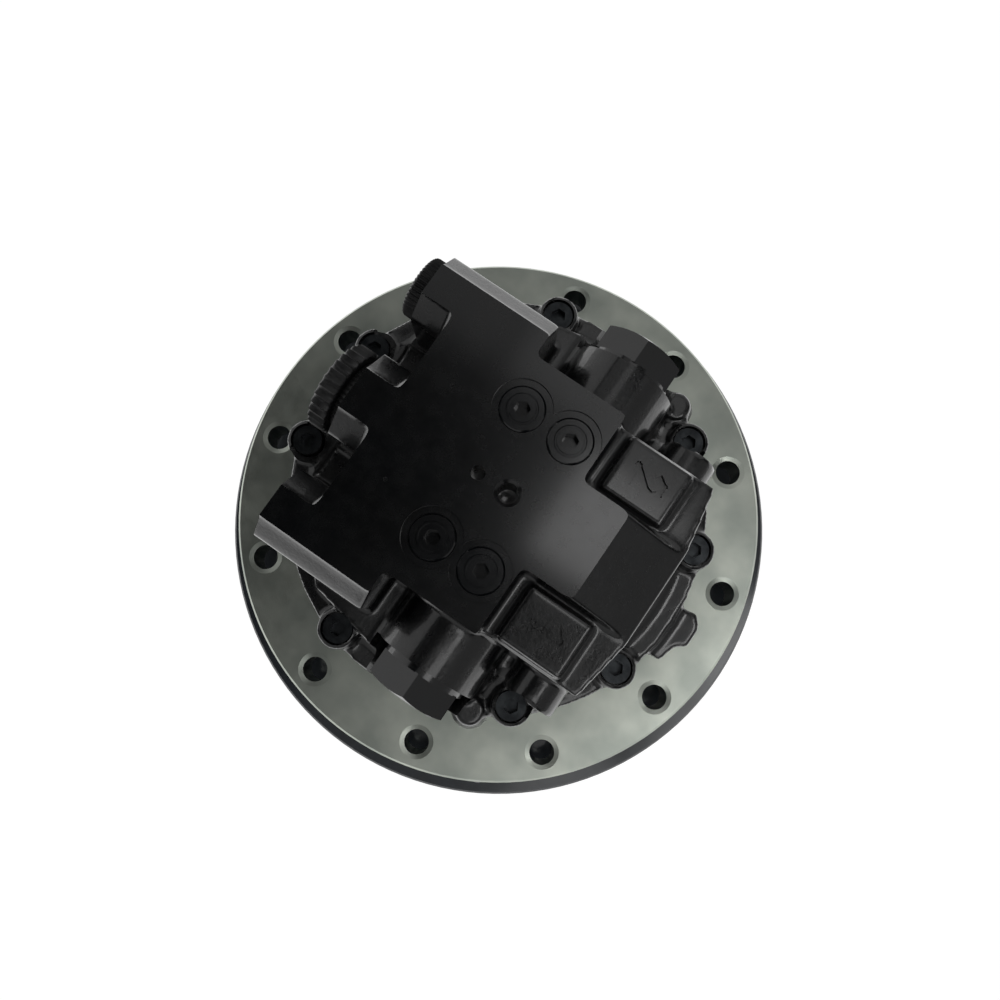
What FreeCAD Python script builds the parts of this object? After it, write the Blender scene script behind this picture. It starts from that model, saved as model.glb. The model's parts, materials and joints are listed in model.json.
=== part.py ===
import FreeCAD, Part
import math
import os
import re
import Sketcher
from FreeCAD import Placement, Rotation, Vector

# Track drive of a mini excavator: an axial piston motor in a fixed casing, with a valve block
# on its back, turns a hub through two planetary stages that share one ring gear.
#
# Frame: millimetres, +Z up towards the valve block. The origin is the centre of the machined
# face that bolts to the track frame. The port side of the block is at -X, and the block is
# mirror-symmetric about the XZ plane.

doc = FreeCAD.newDocument("final_drive")

# ---------------------------------------------------------------- driving dimensions
# Lengths in millimetres, angles in degrees. Depths are counted down from the frame face.

SIZES = {
    # frame flange and motor casing
    "frame_od": 260, "frame_thick": 20, "frame_edge": 12.5, "frame_bolts": 12,
    "frame_bolt_start": 15, "frame_tap_d": 12, "frame_tap_chamfer": 2.25,
    "frame_chamfer_depth": 0.4, "edge_break": 1, "case_od": 180, "case_height": 34,
    "brake_bore_d": 132, "swash_bore_d": 104, "swash_bore_depth": 50, "skirt_od": 212,
    "skirt_depth": 32, "seal_cup_d": 204.8, "seal_cup_depth": 21.5, "neck_od": 160,
    "shaft_bore_d": 28,
    # valve block: round flange and its screws
    "cover_flange_d": 188, "cover_flange_thick": 14, "cover_screw_inset": 5, "cover_boss_d": 18,
    "cover_boss_rise": 6, "cover_screw_d": 8, "cover_head_d": 13, "cover_head_height": 8,
    "cover_counterbore_d": 14.5, "cover_counterbore": 9, "cover_screw_length": 25,
    "cover_screw_hex": 6, "screw_angle_a": 20.4, "screw_angle_b": 51.6, "screw_angle_c": 106.5,
    "screw_angle_d": 163.3, "dome_base_d": 172, "dome_top_d": 146, "dome_rise": 10,
    # valve block: body
    "block_height": 65, "core_half": 52, "core_back": 20, "core_front": 26.5, "wing_half": 62,
    "wing_back": 69.5, "wing_front": 17, "shoulder_out": 8.5, "shoulder_drop": 10,
    "lobe_half": 9, "bay_inner": 20, "bay_outer": 38, "bay_head": 53.5, "nose_front": 77.5,
    "nose_corner": 72.5, "nose_half": 50, "nose_flat_half": 22, "pocket_drop": 11,
    "tongue_half": 20.5, "tongue_front": 48.5, "pad_back": 33.5, "pad_front": 62.5,
    "pad_inner": 24, "pad_outer": 48.5, "pad_drop": 6,
    # ports and plugs
    "port_offset": 54.3, "port_drop": 19, "port_tap_d": 24.2, "port_tap_length": 18,
    "centre_port_drop": 23, "centre_port_tap_d": 30.3, "passage_d": 14, "plug_row": 31,
    "plug_back": 9, "plug_front": 14, "spotface_d": 25, "spotface_depth": 1, "plug_head_d": 19,
    "plug_height": 12, "plug_hex": 6, "lift_hole_x": 5.5, "lift_tap_d": 8.5,
    "lift_tap_depth": 20, "lift_chamfer_d": 11, "vent_hole_x": 8.7, "vent_hole_d": 6,
    "vent_hole_depth": 14, "dimple_x": 37.2, "dimple_y": 22.7, "dimple_d": 1.6, "drain_x": 47,
    "drain_d": 12, "port_cap_r": 14, "port_cap_height": 7.5, "rib_depth": 0.7, "port_stem": 10,
    "drain_cap_r": 20, "drain_cap_height": 8.5, "drain_collar": 5, "drain_collar_r": 16,
    # bulges and lugs of the block
    "bulge_back": 52, "bulge_step": 42, "bulge_low_half": 76, "bulge_half": 84, "lug_height": 7,
    "small_lug_x": 42, "small_lug_y": 82, "small_lug_d": 12, "small_lug_height": 15,
    # counterbalance valve across the block
    "spool_x": 16, "spool_height": 58, "spool_boss_d": 48, "spool_boss_half": 76, "spool_d": 20,
    "spool_half": 46, "spool_groove_in": 24, "spool_groove_out": 38, "spool_waist_d": 13,
    "spool_spring_r": 7.5, "spool_spring_wire": 2, "cap_hex": 36, "cap_end": 91,
    "cap_collar_d": 40, "cap_pocket_d": 43.5, "cap_collar": 3, "cap_thread_d": 30,
    "cap_thread_length": 14, "bore_clearance": 0.05,
    # two-speed valve and its side bosses
    "pilot_x": 59.5, "pilot_height": 58, "pilot_boss_d": 24, "pilot_boss_half": 64,
    "pilot_d": 12, "pilot_half": 22, "pilot_groove": 8, "pilot_waist_d": 8, "pilot_spring_r": 4,
    "pilot_spring_wire": 1.2, "pilot_plug_d": 18, "pilot_plug_length": 10.5,
    "pilot_plug_recess": 1.5,
    # hub, main bearings and face seal
    "hub_flange_od": 282, "hub_flange_depth": 31, "hub_flange_thick": 18, "hub_od": 237,
    "pilot_od": 240, "pilot_length": 16, "lip_od": 226, "lip_bore_d": 215, "lip_depth": 23,
    "sprocket_edge": 10.5, "sprocket_bolts": 12, "sprocket_tap_d": 10.2, "bearing_bore_d": 140,
    "bearing_od": 175, "bearing_width": 18, "bearing_depth": 50, "bearing_spacer": 6,
    "ball_d": 12, "ball_count": 16, "ball_clearance": 0.25, "race_wall": 5.5, "cage_thick": 3,
    "cage_margin": 1, "seal_plane_depth": 34, "seal_gap": 0.04, "seal_bore_d": 176,
    "seal_ring_height": 11, "seal_body_d": 187.6, "seal_flange_d": 196, "seal_flange": 3,
    "toric_d": 8.4, "hub_cup_depth": 48, "hub_throat_d": 184, "hub_rib_d": 161, "toric_r": 98,
    # gear train
    "module_size": 3, "pressure_angle": 25, "addendum": 0.8, "dedendum": 1, "backlash": 0.3,
    "ring_teeth": 62, "sun_one_teeth": 10, "sun_two_teeth": 14, "planets_one": 3,
    "planets_two": 4, "ring_gear_od": 204, "gear_gap": 2, "gear_two_width": 25, "stage_gap": 5,
    "clip_room": 3, "end_gap": 5, "pin_two_d": 24, "sleeve_wall": 2, "carrier_two_thick": 14,
    "carrier_two_od": 156, "carrier_two_bolt_d": 10, "carrier_two_head_d": 16,
    "carrier_two_head": 10, "pin_two_seat": 7, "carrier_two_bolt_length": 26,
    "carrier_two_hex": 8, "carrier_two_bore_d": 32, "clip_thick": 1.7, "clip_wall": 4,
    "carrier_one_thick": 9, "carrier_one_gap": 1, "carrier_one_od": 150, "gear_one_width": 17,
    "pin_one_d": 20, "sun_two_bore_d": 21, "sun_two_stub_d": 30, "stem_d": 17,
    "running_gap": 0.05,
    # end cover
    "cover_rim": 8, "cover_thick": 18, "cover_face_d": 176, "cover_recess_d": 164,
    "cover_recess": 6, "end_screw_edge": 7.5, "end_screws": 12, "end_screw_d": 8,
    "end_head_d": 13, "end_head_height": 8, "end_screw_length": 24, "end_seal_r": 104.4,
    "end_seal_cord": 1, "oil_plug_height": 11, "oil_plugs": 3, "button_rise": 4.6,
    "oil_plug_pcd": 120, "oil_plug_d": 21, "oil_plug_hex": 10, "button_d": 26,
    # rotating group
    "shaft_d": 25, "shaft_setback": 4, "shaft_rear_d": 20, "shaft_rear_end": 49,
    "socket_depth": 26, "spline_d": 30, "spline_low": 10, "spline_high": 22, "block_d": 92,
    "block_low_depth": 11, "valve_plate_thick": 4, "valve_plate_d": 88, "piston_circle": 33,
    "piston_count": 9, "piston_d": 17, "piston_length": 33, "cylinder_bore_top": 24,
    "kidney_d": 8, "tilt_angle": 12, "tilt_centre_depth": 23, "shoe_height": 7, "shoe_d": 18,
    "shoe_flange": 3, "shoe_neck_d": 13, "retainer_d": 86, "retainer_thick": 2.5, "guide_d": 40,
    "swash_d": 88, "swash_thick": 8, "cradle_d": 48, "swash_hole_d": 38, "cradle_half": 40,
    "cradle_inner": 22, "cradle_back": 14, "cradle_front": 20, "cradle_top_depth": 38,
    "shoe_crimp": 2.5, "piston_ball_r": 5.5, "piston_neck_r": 3.5, "piston_skirt": 9,
    "spring_well_r": 21, "spring_well_top": 10, "block_spring_r": 18.5, "block_spring_wire": 3,
    "guide_top_depth": 12, "guide_low_depth": 29, "valve_plate_bore_d": 32, "cradle_gap": 0.3,
    "tilt_piston_x": 34, "tilt_piston_d": 12, "tilt_piston_low": 62, "tilt_bore_length": 15,
    "tilt_piston_height": 14.8, "case_seal_r": 76, "case_seal_cord": 1.4,
    # brake and shaft bearings
    "brake_disc_od": 124, "brake_disc_thick": 2.5, "brake_plate_thick": 2, "brake_gap": 0.02,
    "brake_piston_height": 17, "brake_piston_bore": 100, "front_bearing_od": 52,
    "front_bearing_width": 15, "oil_seal_od": 42, "oil_seal_width": 8, "roller_count": 12,
    "roller_d": 5, "front_race_r": 16.2, "front_wall": 4.2, "roller_circle": 19,
    "brake_disc_bore_d": 93, "brake_spring_r": 64, "rear_bearing_od": 32,
    "rear_bearing_width": 12,
}

# Values worked out from the driving dimensions.
PLACES = {
    "frame_pcd": "frame_od - frame_edge * 2",
    "sprocket_pcd": "hub_flange_od - sprocket_edge * 2",
    "cover_pcd": "cover_flange_d - cover_screw_inset * 2",
    "end_screw_pcd": "hub_od - end_screw_edge * 2",
    "case_top": "case_height",
    "flange_top": "case_height + cover_flange_thick",
    "boss_top": "flange_top + cover_boss_rise",
    "block_top": "case_height + block_height",
    "front_bearing_low": "-swash_bore_depth - front_bearing_width",
    "oil_seal_low": "front_bearing_low - oil_seal_width",
    "case_seal_low": "case_height - case_seal_cord * 2",
    "cap_thread_low": "spool_boss_half - cap_thread_length",
    "pilot_plug_low": "pilot_boss_half - pilot_plug_recess - pilot_plug_length",
    "spool_r": "spool_d / 2 - bore_clearance",
    "spool_waist_r": "spool_waist_d / 2",
    "pilot_r": "pilot_d / 2 - bore_clearance",
    "pilot_waist_r": "pilot_waist_d / 2",
    "carrier_two_grip": "carrier_two_bolt_length - carrier_two_thick + carrier_two_head",
    "shoulder_z": "block_top - shoulder_drop",
    "wing_out": "wing_half + shoulder_out",
    "pocket_z": "block_top - pocket_drop",
    "pad_z": "block_top - pad_drop",
    "port_z": "block_top - port_drop",
    "centre_port_z": "block_top - centre_port_drop",
    "bearing_a_top": "-bearing_depth",
    "bearing_a_low": "-bearing_depth - bearing_width",
    "bearing_b_top": "bearing_a_low - bearing_spacer",
    "bearing_b_low": "bearing_b_top - bearing_width",
    "ball_circle_r": "(bearing_bore_d + bearing_od) / 4",
    "sprocket_z": "-hub_flange_depth - hub_flange_thick",
    "seal_fixed_z": "seal_gap / 2 - seal_plane_depth",
    "seal_moving_z": "-seal_gap / 2 - seal_plane_depth",
    "toric_fixed_z": "seal_fixed_z + seal_flange + toric_d / 2 + 0.6",
    "toric_moving_z": "seal_moving_z - seal_flange - toric_d / 2 - 0.6",
    "planet_one_teeth": "(ring_teeth - sun_one_teeth) / 2",
    "planet_two_teeth": "(ring_teeth - sun_two_teeth) / 2",
    "centre_one": "module_size * (sun_one_teeth + planet_one_teeth) / 2",
    "centre_two": "module_size * (sun_two_teeth + planet_two_teeth) / 2",
    "carrier_two_low": "bearing_b_low - carrier_two_thick",
    "gear_two_low": "carrier_two_low - gear_gap - gear_two_width",
    "carrier_one_top": "gear_two_low - stage_gap",
    "carrier_one_low": "carrier_one_top - carrier_one_thick",
    "gear_one_top": "carrier_one_low - carrier_one_gap",
    "gear_one_low": "gear_one_top - gear_one_width",
    "hub_end": "gear_one_low - end_gap",
    "cover_face": "hub_end - cover_thick",
    "shaft_end": "bearing_b_low + shaft_setback",
    "pin_two_length": "pin_two_seat + carrier_two_thick + gear_gap + gear_two_width + clip_room",
    "pin_one_length": "carrier_one_thick + carrier_one_gap + gear_one_width + clip_room",
    "valve_plate_low": "case_height - valve_plate_thick",
    "brake_piston_low": "brake_plate_thick * 3 + brake_disc_thick * 2 + brake_gap * 5",
    "brake_piston_top": "brake_piston_low + brake_piston_height",
    "cover_rim_low": "hub_end - cover_rim",
}

sizes = doc.addObject("Spreadsheet::Sheet", "Sizes")
for row, (name, number) in enumerate(SIZES.items(), 1):
    sizes.set("A%d" % row, name.replace("_", " "))
    sizes.set("B%d" % row, str(number))
    sizes.setAlias("B%d" % row, name)
doc.recompute()

places = doc.addObject("Spreadsheet::Sheet", "Places")


def named(text):
    """A formula with each name led by the sheet that holds it."""
    def lead(match):
        word = match.group(0)
        if word in SIZES:
            return "Sizes." + word
        if word in PLACES:
            return "Places." + word
        return word
    return re.sub(r"[a-z][a-z_]*", lead, str(text))


for row, (name, formula) in enumerate(PLACES.items(), 1):
    places.set("A%d" % row, name.replace("_", " "))
    places.set("B%d" % row, "=" + named(formula).replace("Places.", ""))
    places.setAlias("B%d" % row, name)
    doc.recompute()

probe = doc.addObject("App::FeaturePython", "probe")
probe.addProperty("App::PropertyFloat", "result")


def value(text):
    """The number that a formula gives now."""
    probe.setExpression("result", named(text))
    probe.recompute()
    return probe.result


# ---------------------------------------------------------------- small helpers

TURNS = {
    "z": Rotation(),
    "x": Rotation(Vector(0, 1, 0), 90),
    "y": Rotation(Vector(1, 0, 0), -90),
}
PLANES = {
    "XY": (Rotation(), "z"),
    "YZ": (Rotation(Vector(1, 1, 1), 120), "x"),
    "XZ": (Rotation(Vector(1, 0, 0), 90), "y"),
}


def bind(thing, **formulas):
    """Tie properties of an object to formulas."""
    for prop, text in formulas.items():
        thing.setExpression(prop, named(text))
    return thing


def put(thing, x="0", y="0", z="0"):
    """Tie an object's place to formulas."""
    for axis, text in (("x", x), ("y", y), ("z", z)):
        if str(text) != "0":
            thing.setExpression("Placement.Base." + axis, named(text))
    return thing


def rod(label, radius, height, x="0", y="0", z="0", axis="z"):
    """A cylinder that starts at a place and runs along an axis."""
    thing = doc.addObject("Part::Cylinder", label)
    thing.Placement = Placement(Vector(), TURNS[axis])
    return put(bind(thing, Radius=radius, Height=height), x, y, z)


def cone(label, low_radius, high_radius, height, x="0", y="0", z="0", axis="z"):
    thing = doc.addObject("Part::Cone", label)
    thing.Placement = Placement(Vector(), TURNS[axis])
    bind(thing, Radius1=low_radius, Radius2=high_radius, Height=height)
    return put(thing, x, y, z)


def ball(label, radius, x="0", y="0", z="0"):
    thing = doc.addObject("Part::Sphere", label)
    return put(bind(thing, Radius=radius), x, y, z)


def ring(label, mean_radius, cord_radius, x="0", y="0", z="0", axis="z"):
    """A torus, such as an O-ring."""
    thing = doc.addObject("Part::Torus", label)
    thing.Placement = Placement(Vector(), TURNS[axis])
    return put(bind(thing, Radius1=mean_radius, Radius2=cord_radius), x, y, z)


def hexagon(label, flats, height, x="0", y="0", z="0", axis="z"):
    """A hexagonal prism measured across its flats."""
    thing = doc.addObject("Part::Prism", label)
    thing.Polygon = 6
    thing.Placement = Placement(Vector(), TURNS[axis])
    bind(thing, Circumradius="(%s) / 2 / cos(30)" % flats, Height=height)
    return put(thing, x, y, z)


def slab(label, low, high):
    """A box between two corners, each a tuple of three formulas."""
    thing = doc.addObject("Part::Box", label)
    spans = ["(%s) - (%s)" % (top, bottom) for bottom, top in zip(low, high)]
    bind(thing, Length=spans[0], Width=spans[1], Height=spans[2])
    return put(thing, *low)


def cut(label, base, *tools):
    thing = doc.addObject("Part::Cut", label)
    thing.Base = base
    thing.Tool = tools[0] if len(tools) == 1 else fuse(label + "_tools", *tools)
    return thing


def fuse(label, *things):
    thing = doc.addObject("Part::MultiFuse", label)
    thing.Shapes = list(things)
    return thing


def common(label, *things):
    thing = doc.addObject("Part::MultiCommon", label)
    thing.Shapes = list(things)
    return thing


def group(label, *things):
    """Separate solids that share one node."""
    thing = doc.addObject("Part::Compound", label)
    thing.Links = list(things)
    return thing


def pipe(label, outer, inner, height, x="0", y="0", z="0", axis="z"):
    """A hollow cylinder. Its bore's tool is longer than it, so the ends are cut cleanly."""
    over = {"x": x, "y": y, "z": z}
    over[axis] = "(%s) - 1" % over[axis]
    bore = rod(label + "_bore", inner, "(%s) + 2" % height, axis=axis, **over)
    return cut(label, rod(label + "_wall", outer, height, x, y, z, axis), bore)


def outline(sketch, points):
    """A closed outline of straight lines through points, each a pair of formulas."""
    at = [Vector(value(across), value(up), 0) for across, up in points]
    last = len(at) - 1
    for n, start in enumerate(at):
        sketch.addGeometry(Part.LineSegment(start, at[0 if n == last else n + 1]), False)
    for n, (across, up) in enumerate(points):
        after = 0 if n == last else n + 1
        sketch.addConstraint(Sketcher.Constraint("Coincident", n, 2, after, 1))
        for kind, text, now in (("DistanceX", across, at[n].x), ("DistanceY", up, at[n].y)):
            if text == "0":
                axis = -2 if kind == "DistanceX" else -1
                sketch.addConstraint(Sketcher.Constraint("PointOnObject", n, 1, axis))
                continue
            index = sketch.addConstraint(Sketcher.Constraint(kind, -1, 1, n, 1, now))
            sketch.setExpression("Constraints[%d]" % index, named(text))
    return sketch


def prism(label, plane, points, start, length):
    """An outline drawn on a plane and extruded along that plane's normal axis."""
    turn, axis = PLANES[plane]
    sketch = outline(doc.addObject("Sketcher::SketchObject", label + "_outline"), points)
    sketch.Placement = Placement(Vector(), turn)
    sketch.setExpression("Placement.Base." + axis, named(start))
    thing = doc.addObject("Part::Extrusion", label)
    thing.Base = sketch
    thing.DirMode = "Normal"
    thing.Solid = True
    return bind(thing, LengthFwd=length)


def turned(label, points, axis="z", x="0", y="0", z="0"):
    """A body turned about its own Z axis from an outline of (radius, height) pairs."""
    body = doc.addObject("PartDesign::Body", label)
    sketch = body.newObject("Sketcher::SketchObject", label + "_outline")
    plane = [one for one in body.Origin.OriginFeatures if one.Role == "XZ_Plane"][0]
    sketch.AttachmentSupport = (plane, "")
    sketch.MapMode = "FlatFace"
    outline(sketch, points)
    turn = body.newObject("PartDesign::Revolution", label + "_turn")
    turn.Profile = sketch
    turn.ReferenceAxis = (sketch, ["V_Axis"])
    turn.Angle = 360
    body.Placement = Placement(Vector(), TURNS[axis])
    return put(body, x, y, z)


def around(count, radius, start, make):
    """Copies of a piece spread evenly on a circle: make(number, x, y) gives each one."""
    made = []
    for number in range(round(value(count))):
        angle = "(%s + %d * 360 / (%s))" % (start, number, count)
        x = "(%s) * cos(%s)" % (radius, angle)
        y = "(%s) * sin(%s)" % (radius, angle)
        made.append(make(number + 1, x, y))
    return made


def at_screws(make):
    """A piece at each of the eight valve block screws, in mirror pairs about the X axis."""
    made = []
    for letter in "abcd":
        for side, sign in (("left", ""), ("right", "-")):
            angle = "screw_angle_" + letter
            x = "cover_pcd / 2 * cos(%s)" % angle
            y = "%scover_pcd / 2 * sin(%s)" % (sign, angle)
            made.append(make(letter + "_" + side, x, y))
    return made


def shaped(label, shape):
    """A piece whose shape is computed here rather than drawn."""
    thing = doc.addObject("Part::Feature", label)
    thing.Shape = shape
    return thing


# ---------------------------------------------------------------- gears and coil springs


def involute(angle):
    return math.tan(angle) - angle


def tooth_half_angle(teeth, radius, thickness_loss):
    """Half the angle that an external tooth fills at a radius, on involute flanks."""
    pitch = value("module_size") * teeth / 2
    pressure = math.radians(value("pressure_angle"))
    base = pitch * math.cos(pressure)
    here = math.acos(min(1, base / radius))
    at_pitch = math.pi / (2 * teeth) - thickness_loss / (2 * pitch)
    return at_pitch + involute(pressure) - involute(here)


def gear_wire(teeth, turn, internal=False):
    """A closed outline of involute teeth, two flats to a flank, tooth 0 centred at turn."""
    size = value("module_size")
    pitch = size * teeth / 2
    loss = value("backlash") / 2
    base = pitch * math.cos(math.radians(value("pressure_angle")))
    outward = -1 if internal else 1
    root = pitch - outward * value("dedendum") * size
    tip = pitch + outward * value("addendum") * size
    start = root if internal else max(root, base)
    flank = [root, (start + tip) / 2, tip]
    if start > root:
        flank.insert(1, start)
    points = []
    for tooth in range(teeth):
        centre = turn + 2 * math.pi * tooth / teeth
        for radius, side in [(r, -1) for r in flank] + [(r, 1) for r in reversed(flank)]:
            half = tooth_half_angle(teeth, max(radius, base), -loss if internal else loss)
            if internal:
                half = math.pi / teeth - half
            angle = centre + side * half
            points.append(Vector(radius * math.cos(angle), radius * math.sin(angle), 0))
    return Part.makePolygon(points + points[:1])


def gear_blank(rim, hole, low, height):
    """An outline extruded along Z, with another outline cut out of it."""
    face = Part.Face(rim).cut(Part.Face(hole)).Faces[0] if hole else Part.Face(rim)
    face.translate(Vector(0, 0, low))
    return face.extrude(Vector(0, 0, height))


def bore_wire(diameter):
    circle = Part.Circle(Vector(), Vector(0, 0, 1), diameter / 2)
    return Part.Wire(circle.toShape())


def coil_shape(radius, wire, length, turns, steps=8):
    """A coil spring of square wire along +Z, in flat facets."""
    half = wire / 2
    count = turns * steps
    rows = []
    for step in range(count + 1):
        angle = 2 * math.pi * step / steps
        rise = half + (length - wire) * step / count
        corners = [(-half, -half), (half, -half), (half, half), (-half, half)]
        rows.append([Vector((radius + out) * math.cos(angle), (radius + out) * math.sin(angle),
                            rise + up) for out, up in corners])
    faces = [flat(reversed(rows[0])), flat(rows[-1])]
    for low, high in zip(rows, rows[1:]):
        for side in range(4):
            after = (side + 1) % 4
            faces.append(flat([low[side], low[after], high[after]]))
            faces.append(flat([low[side], high[after], high[side]]))
    return Part.Solid(Part.Shell(faces))


def flat(points):
    points = list(points)
    return Part.Face(Part.makePolygon(points + points[:1]))


def coil(label, radius, wire, length, turns, at, axis="z"):
    """A coil spring in a place given by three formulas."""
    shape = coil_shape(value(radius), value(wire), value(length), turns)
    thing = shaped(label, shape)
    thing.Placement = Placement(Vector(*[value(text) for text in at]), TURNS[axis])
    return thing


# ---------------------------------------------------------------- spindle and motor casing

spindle_blank = turned("spindle_blank", [
    ("brake_bore_d / 2", "case_top"), ("case_od / 2", "case_top"), ("case_od / 2", "0"),
    ("frame_od / 2 - edge_break", "0"), ("frame_od / 2", "-edge_break"),
    ("frame_od / 2", "edge_break - frame_thick"),
    ("frame_od / 2 - edge_break", "-frame_thick"), ("skirt_od / 2", "-frame_thick"),
    ("skirt_od / 2", "-skirt_depth"), ("seal_cup_d / 2", "-skirt_depth"),
    ("seal_cup_d / 2", "-seal_cup_depth"), ("neck_od / 2", "-seal_cup_depth"),
    ("neck_od / 2", "bearing_a_top"), ("bearing_bore_d / 2", "bearing_a_top"),
    ("bearing_bore_d / 2", "bearing_b_low"), ("shaft_bore_d / 2", "bearing_b_low"),
    ("shaft_bore_d / 2", "oil_seal_low"), ("oil_seal_od / 2", "oil_seal_low"),
    ("oil_seal_od / 2", "front_bearing_low"), ("front_bearing_od / 2", "front_bearing_low"),
    ("front_bearing_od / 2", "-swash_bore_depth"), ("swash_bore_d / 2", "-swash_bore_depth"),
    ("swash_bore_d / 2", "0"), ("brake_bore_d / 2", "0"),
])
case_bosses = at_screws(lambda name, x, y: rod(
    "case_boss_" + name, "cover_boss_d / 2", "case_top", x, y))
spindle_bosses = cut("spindle_bosses", fuse("case_boss_ring", *case_bosses), rod(
    "brake_bore", "brake_bore_d / 2", "case_top + 2", z="-1"))
case_screw_holes = at_screws(lambda name, x, y: rod(
    "case_screw_hole_" + name, "cover_screw_d / 2 + bore_clearance",
    "cover_screw_length", x, y, "boss_top - cover_counterbore - cover_screw_length - 2"))
frame_holes = around("frame_bolts", "frame_pcd / 2", "frame_bolt_start", lambda n, x, y: fuse(
    "frame_hole_%d" % n,
    rod("frame_tap_%d" % n, "frame_tap_d / 2", "frame_thick + 2", x, y, "-frame_thick - 1"),
    cone("frame_tap_chamfer_%d" % n, "frame_tap_d / 2", "frame_tap_d / 2 + frame_tap_chamfer",
         "frame_chamfer_depth", x, y, "-frame_chamfer_depth")))
nose_screw_holes = around("planets_two", "centre_two", "45", lambda n, x, y: rod(
    "nose_screw_hole_%d" % n, "carrier_two_bolt_d / 2", "carrier_two_grip + 2", x, y,
    "bearing_b_low - 1"))
nose_pin_holes = around("planets_two", "centre_two", "0", lambda n, x, y: rod(
    "nose_pin_hole_%d" % n, "pin_two_d / 2", "pin_two_seat + 1", x, y, "bearing_b_low - 1"))
tilt_bore = rod("tilt_bore", "tilt_piston_d / 2 + bore_clearance", "tilt_bore_length",
                "-tilt_piston_x", "0", "-tilt_piston_low - 2")
case_seal_groove = pipe("case_seal_groove", "case_seal_r + case_seal_cord",
                        "case_seal_r - case_seal_cord", "case_seal_cord * 2", z="case_seal_low")
spindle = cut("spindle", fuse("spindle_solid", spindle_blank, spindle_bosses),
              *case_screw_holes, *frame_holes, *nose_screw_holes, *nose_pin_holes,
              tilt_bore, case_seal_groove)

# ---------------------------------------------------------------- valve block

cover_flange = rod("cover_flange", "cover_flange_d / 2", "cover_flange_thick", z="case_top")
cover_dome = cone("cover_dome", "dome_base_d / 2", "dome_top_d / 2", "dome_rise",
                  z="flange_top")
cover_bosses = at_screws(lambda name, x, y: rod(
    "cover_boss_" + name, "cover_boss_d / 2", "boss_top - case_top", x, y, "case_top"))
block_core = slab("block_core", ("-core_back - 10", "-core_half", "case_top + 1"),
                  ("core_front", "core_half", "block_top"))
block_wing = prism("block_wing", "YZ", [
    ("-wing_out", "case_top + 1"), ("wing_out", "case_top + 1"), ("wing_out", "shoulder_z"),
    ("wing_half", "block_top"), ("-wing_half", "block_top"), ("-wing_out", "shoulder_z"),
], "-wing_back", "wing_back - wing_front")
port_bays = [prism("port_bay_" + side, "YZ", [
    (sign + "bay_inner", "flange_top"), (sign + "bay_outer", "flange_top"),
    (sign + "bay_outer", "shoulder_z"), (sign + "(bay_outer + shoulder_drop)", "block_top"),
    (sign + "(bay_outer + shoulder_drop)", "block_top + 1"), (sign + "lobe_half", "block_top + 1"),
    (sign + "lobe_half", "block_top"), (sign + "bay_inner", "shoulder_z"),
], "-wing_back - 1", "wing_back - bay_head + 1") for side, sign in (("left", ""), ("right", "-"))]
block_nose = prism("block_nose", "XY", [
    ("core_front - 1", "-nose_half"), ("nose_corner", "-nose_half"),
    ("nose_front", "-nose_flat_half"), ("nose_front", "nose_flat_half"),
    ("nose_corner", "nose_half"), ("core_front - 1", "nose_half"),
], "case_top + 1", "pocket_z - case_top - 1")
block_tongue = prism("block_tongue", "XZ", [
    ("core_front - 1", "pocket_z - 1"), ("nose_front - 1", "pocket_z - 1"),
    ("nose_front - 1", "pocket_z"), ("tongue_front", "block_top"),
    ("core_front - 1", "block_top"),
], "tongue_half", "tongue_half * 2")
number_pads = [slab("number_pad_" + side, ("pad_back", low, "pocket_z - 1"),
                    ("pad_front", high, "pad_z"))
               for side, low, high in (("left", "pad_inner", "pad_outer"),
                                       ("right", "-pad_outer", "-pad_inner"))]
block_bulges = [prism("block_bulge_" + side, "XY", [
    ("-bulge_back", sign + "(wing_out - 4)"), ("-bulge_step", sign + "bulge_low_half"),
    ("-1", sign + "bulge_half"), ("spool_x", sign + "(spool_boss_half - 2)"),
    ("spool_x", sign + "(core_half - 10)"), ("-bulge_back", sign + "(core_half - 10)"),
], "case_top + 1", "spool_height - case_top + 2") for side, sign in (("left", ""), ("right", "-"))]
spool_boss = rod("spool_boss", "spool_boss_d / 2", "spool_boss_half * 2", "spool_x",
                 "-spool_boss_half", "spool_height", "y")
spool_foot = slab("spool_foot", ("spool_x - spool_boss_d / 2", "-bulge_low_half",
                                 "case_top + 1"),
                  ("spool_x + spool_boss_d / 2", "bulge_low_half", "spool_height"))
pilot_boss = rod("pilot_boss", "pilot_boss_d / 2", "pilot_boss_half * 2", "pilot_x",
                 "-pilot_boss_half", "pilot_height", "y")
sling_lug = prism("sling_lug", "XY", [
    ("nose_corner", "-17"), ("98.5", "-17"), ("101", "-8"), ("105.5", "-5"),
    ("105.5", "4"), ("101.5", "9.5"), ("nose_corner", "4"),
], "case_top + 4", "lug_height")
small_lugs = [cone("small_lug_" + side, "small_lug_d / 2 + 3", "small_lug_d / 2",
                   "small_lug_height", "small_lug_x", sign + "small_lug_y", "case_top + 1")
              for side, sign in (("left", ""), ("right", "-"))]
cover_solid = fuse("cover_solid", cover_flange, cover_dome, *cover_bosses, block_core,
                   block_wing, block_nose, block_tongue, *number_pads, *block_bulges,
                   spool_boss, spool_foot, pilot_boss, sling_lug, *small_lugs)

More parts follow.
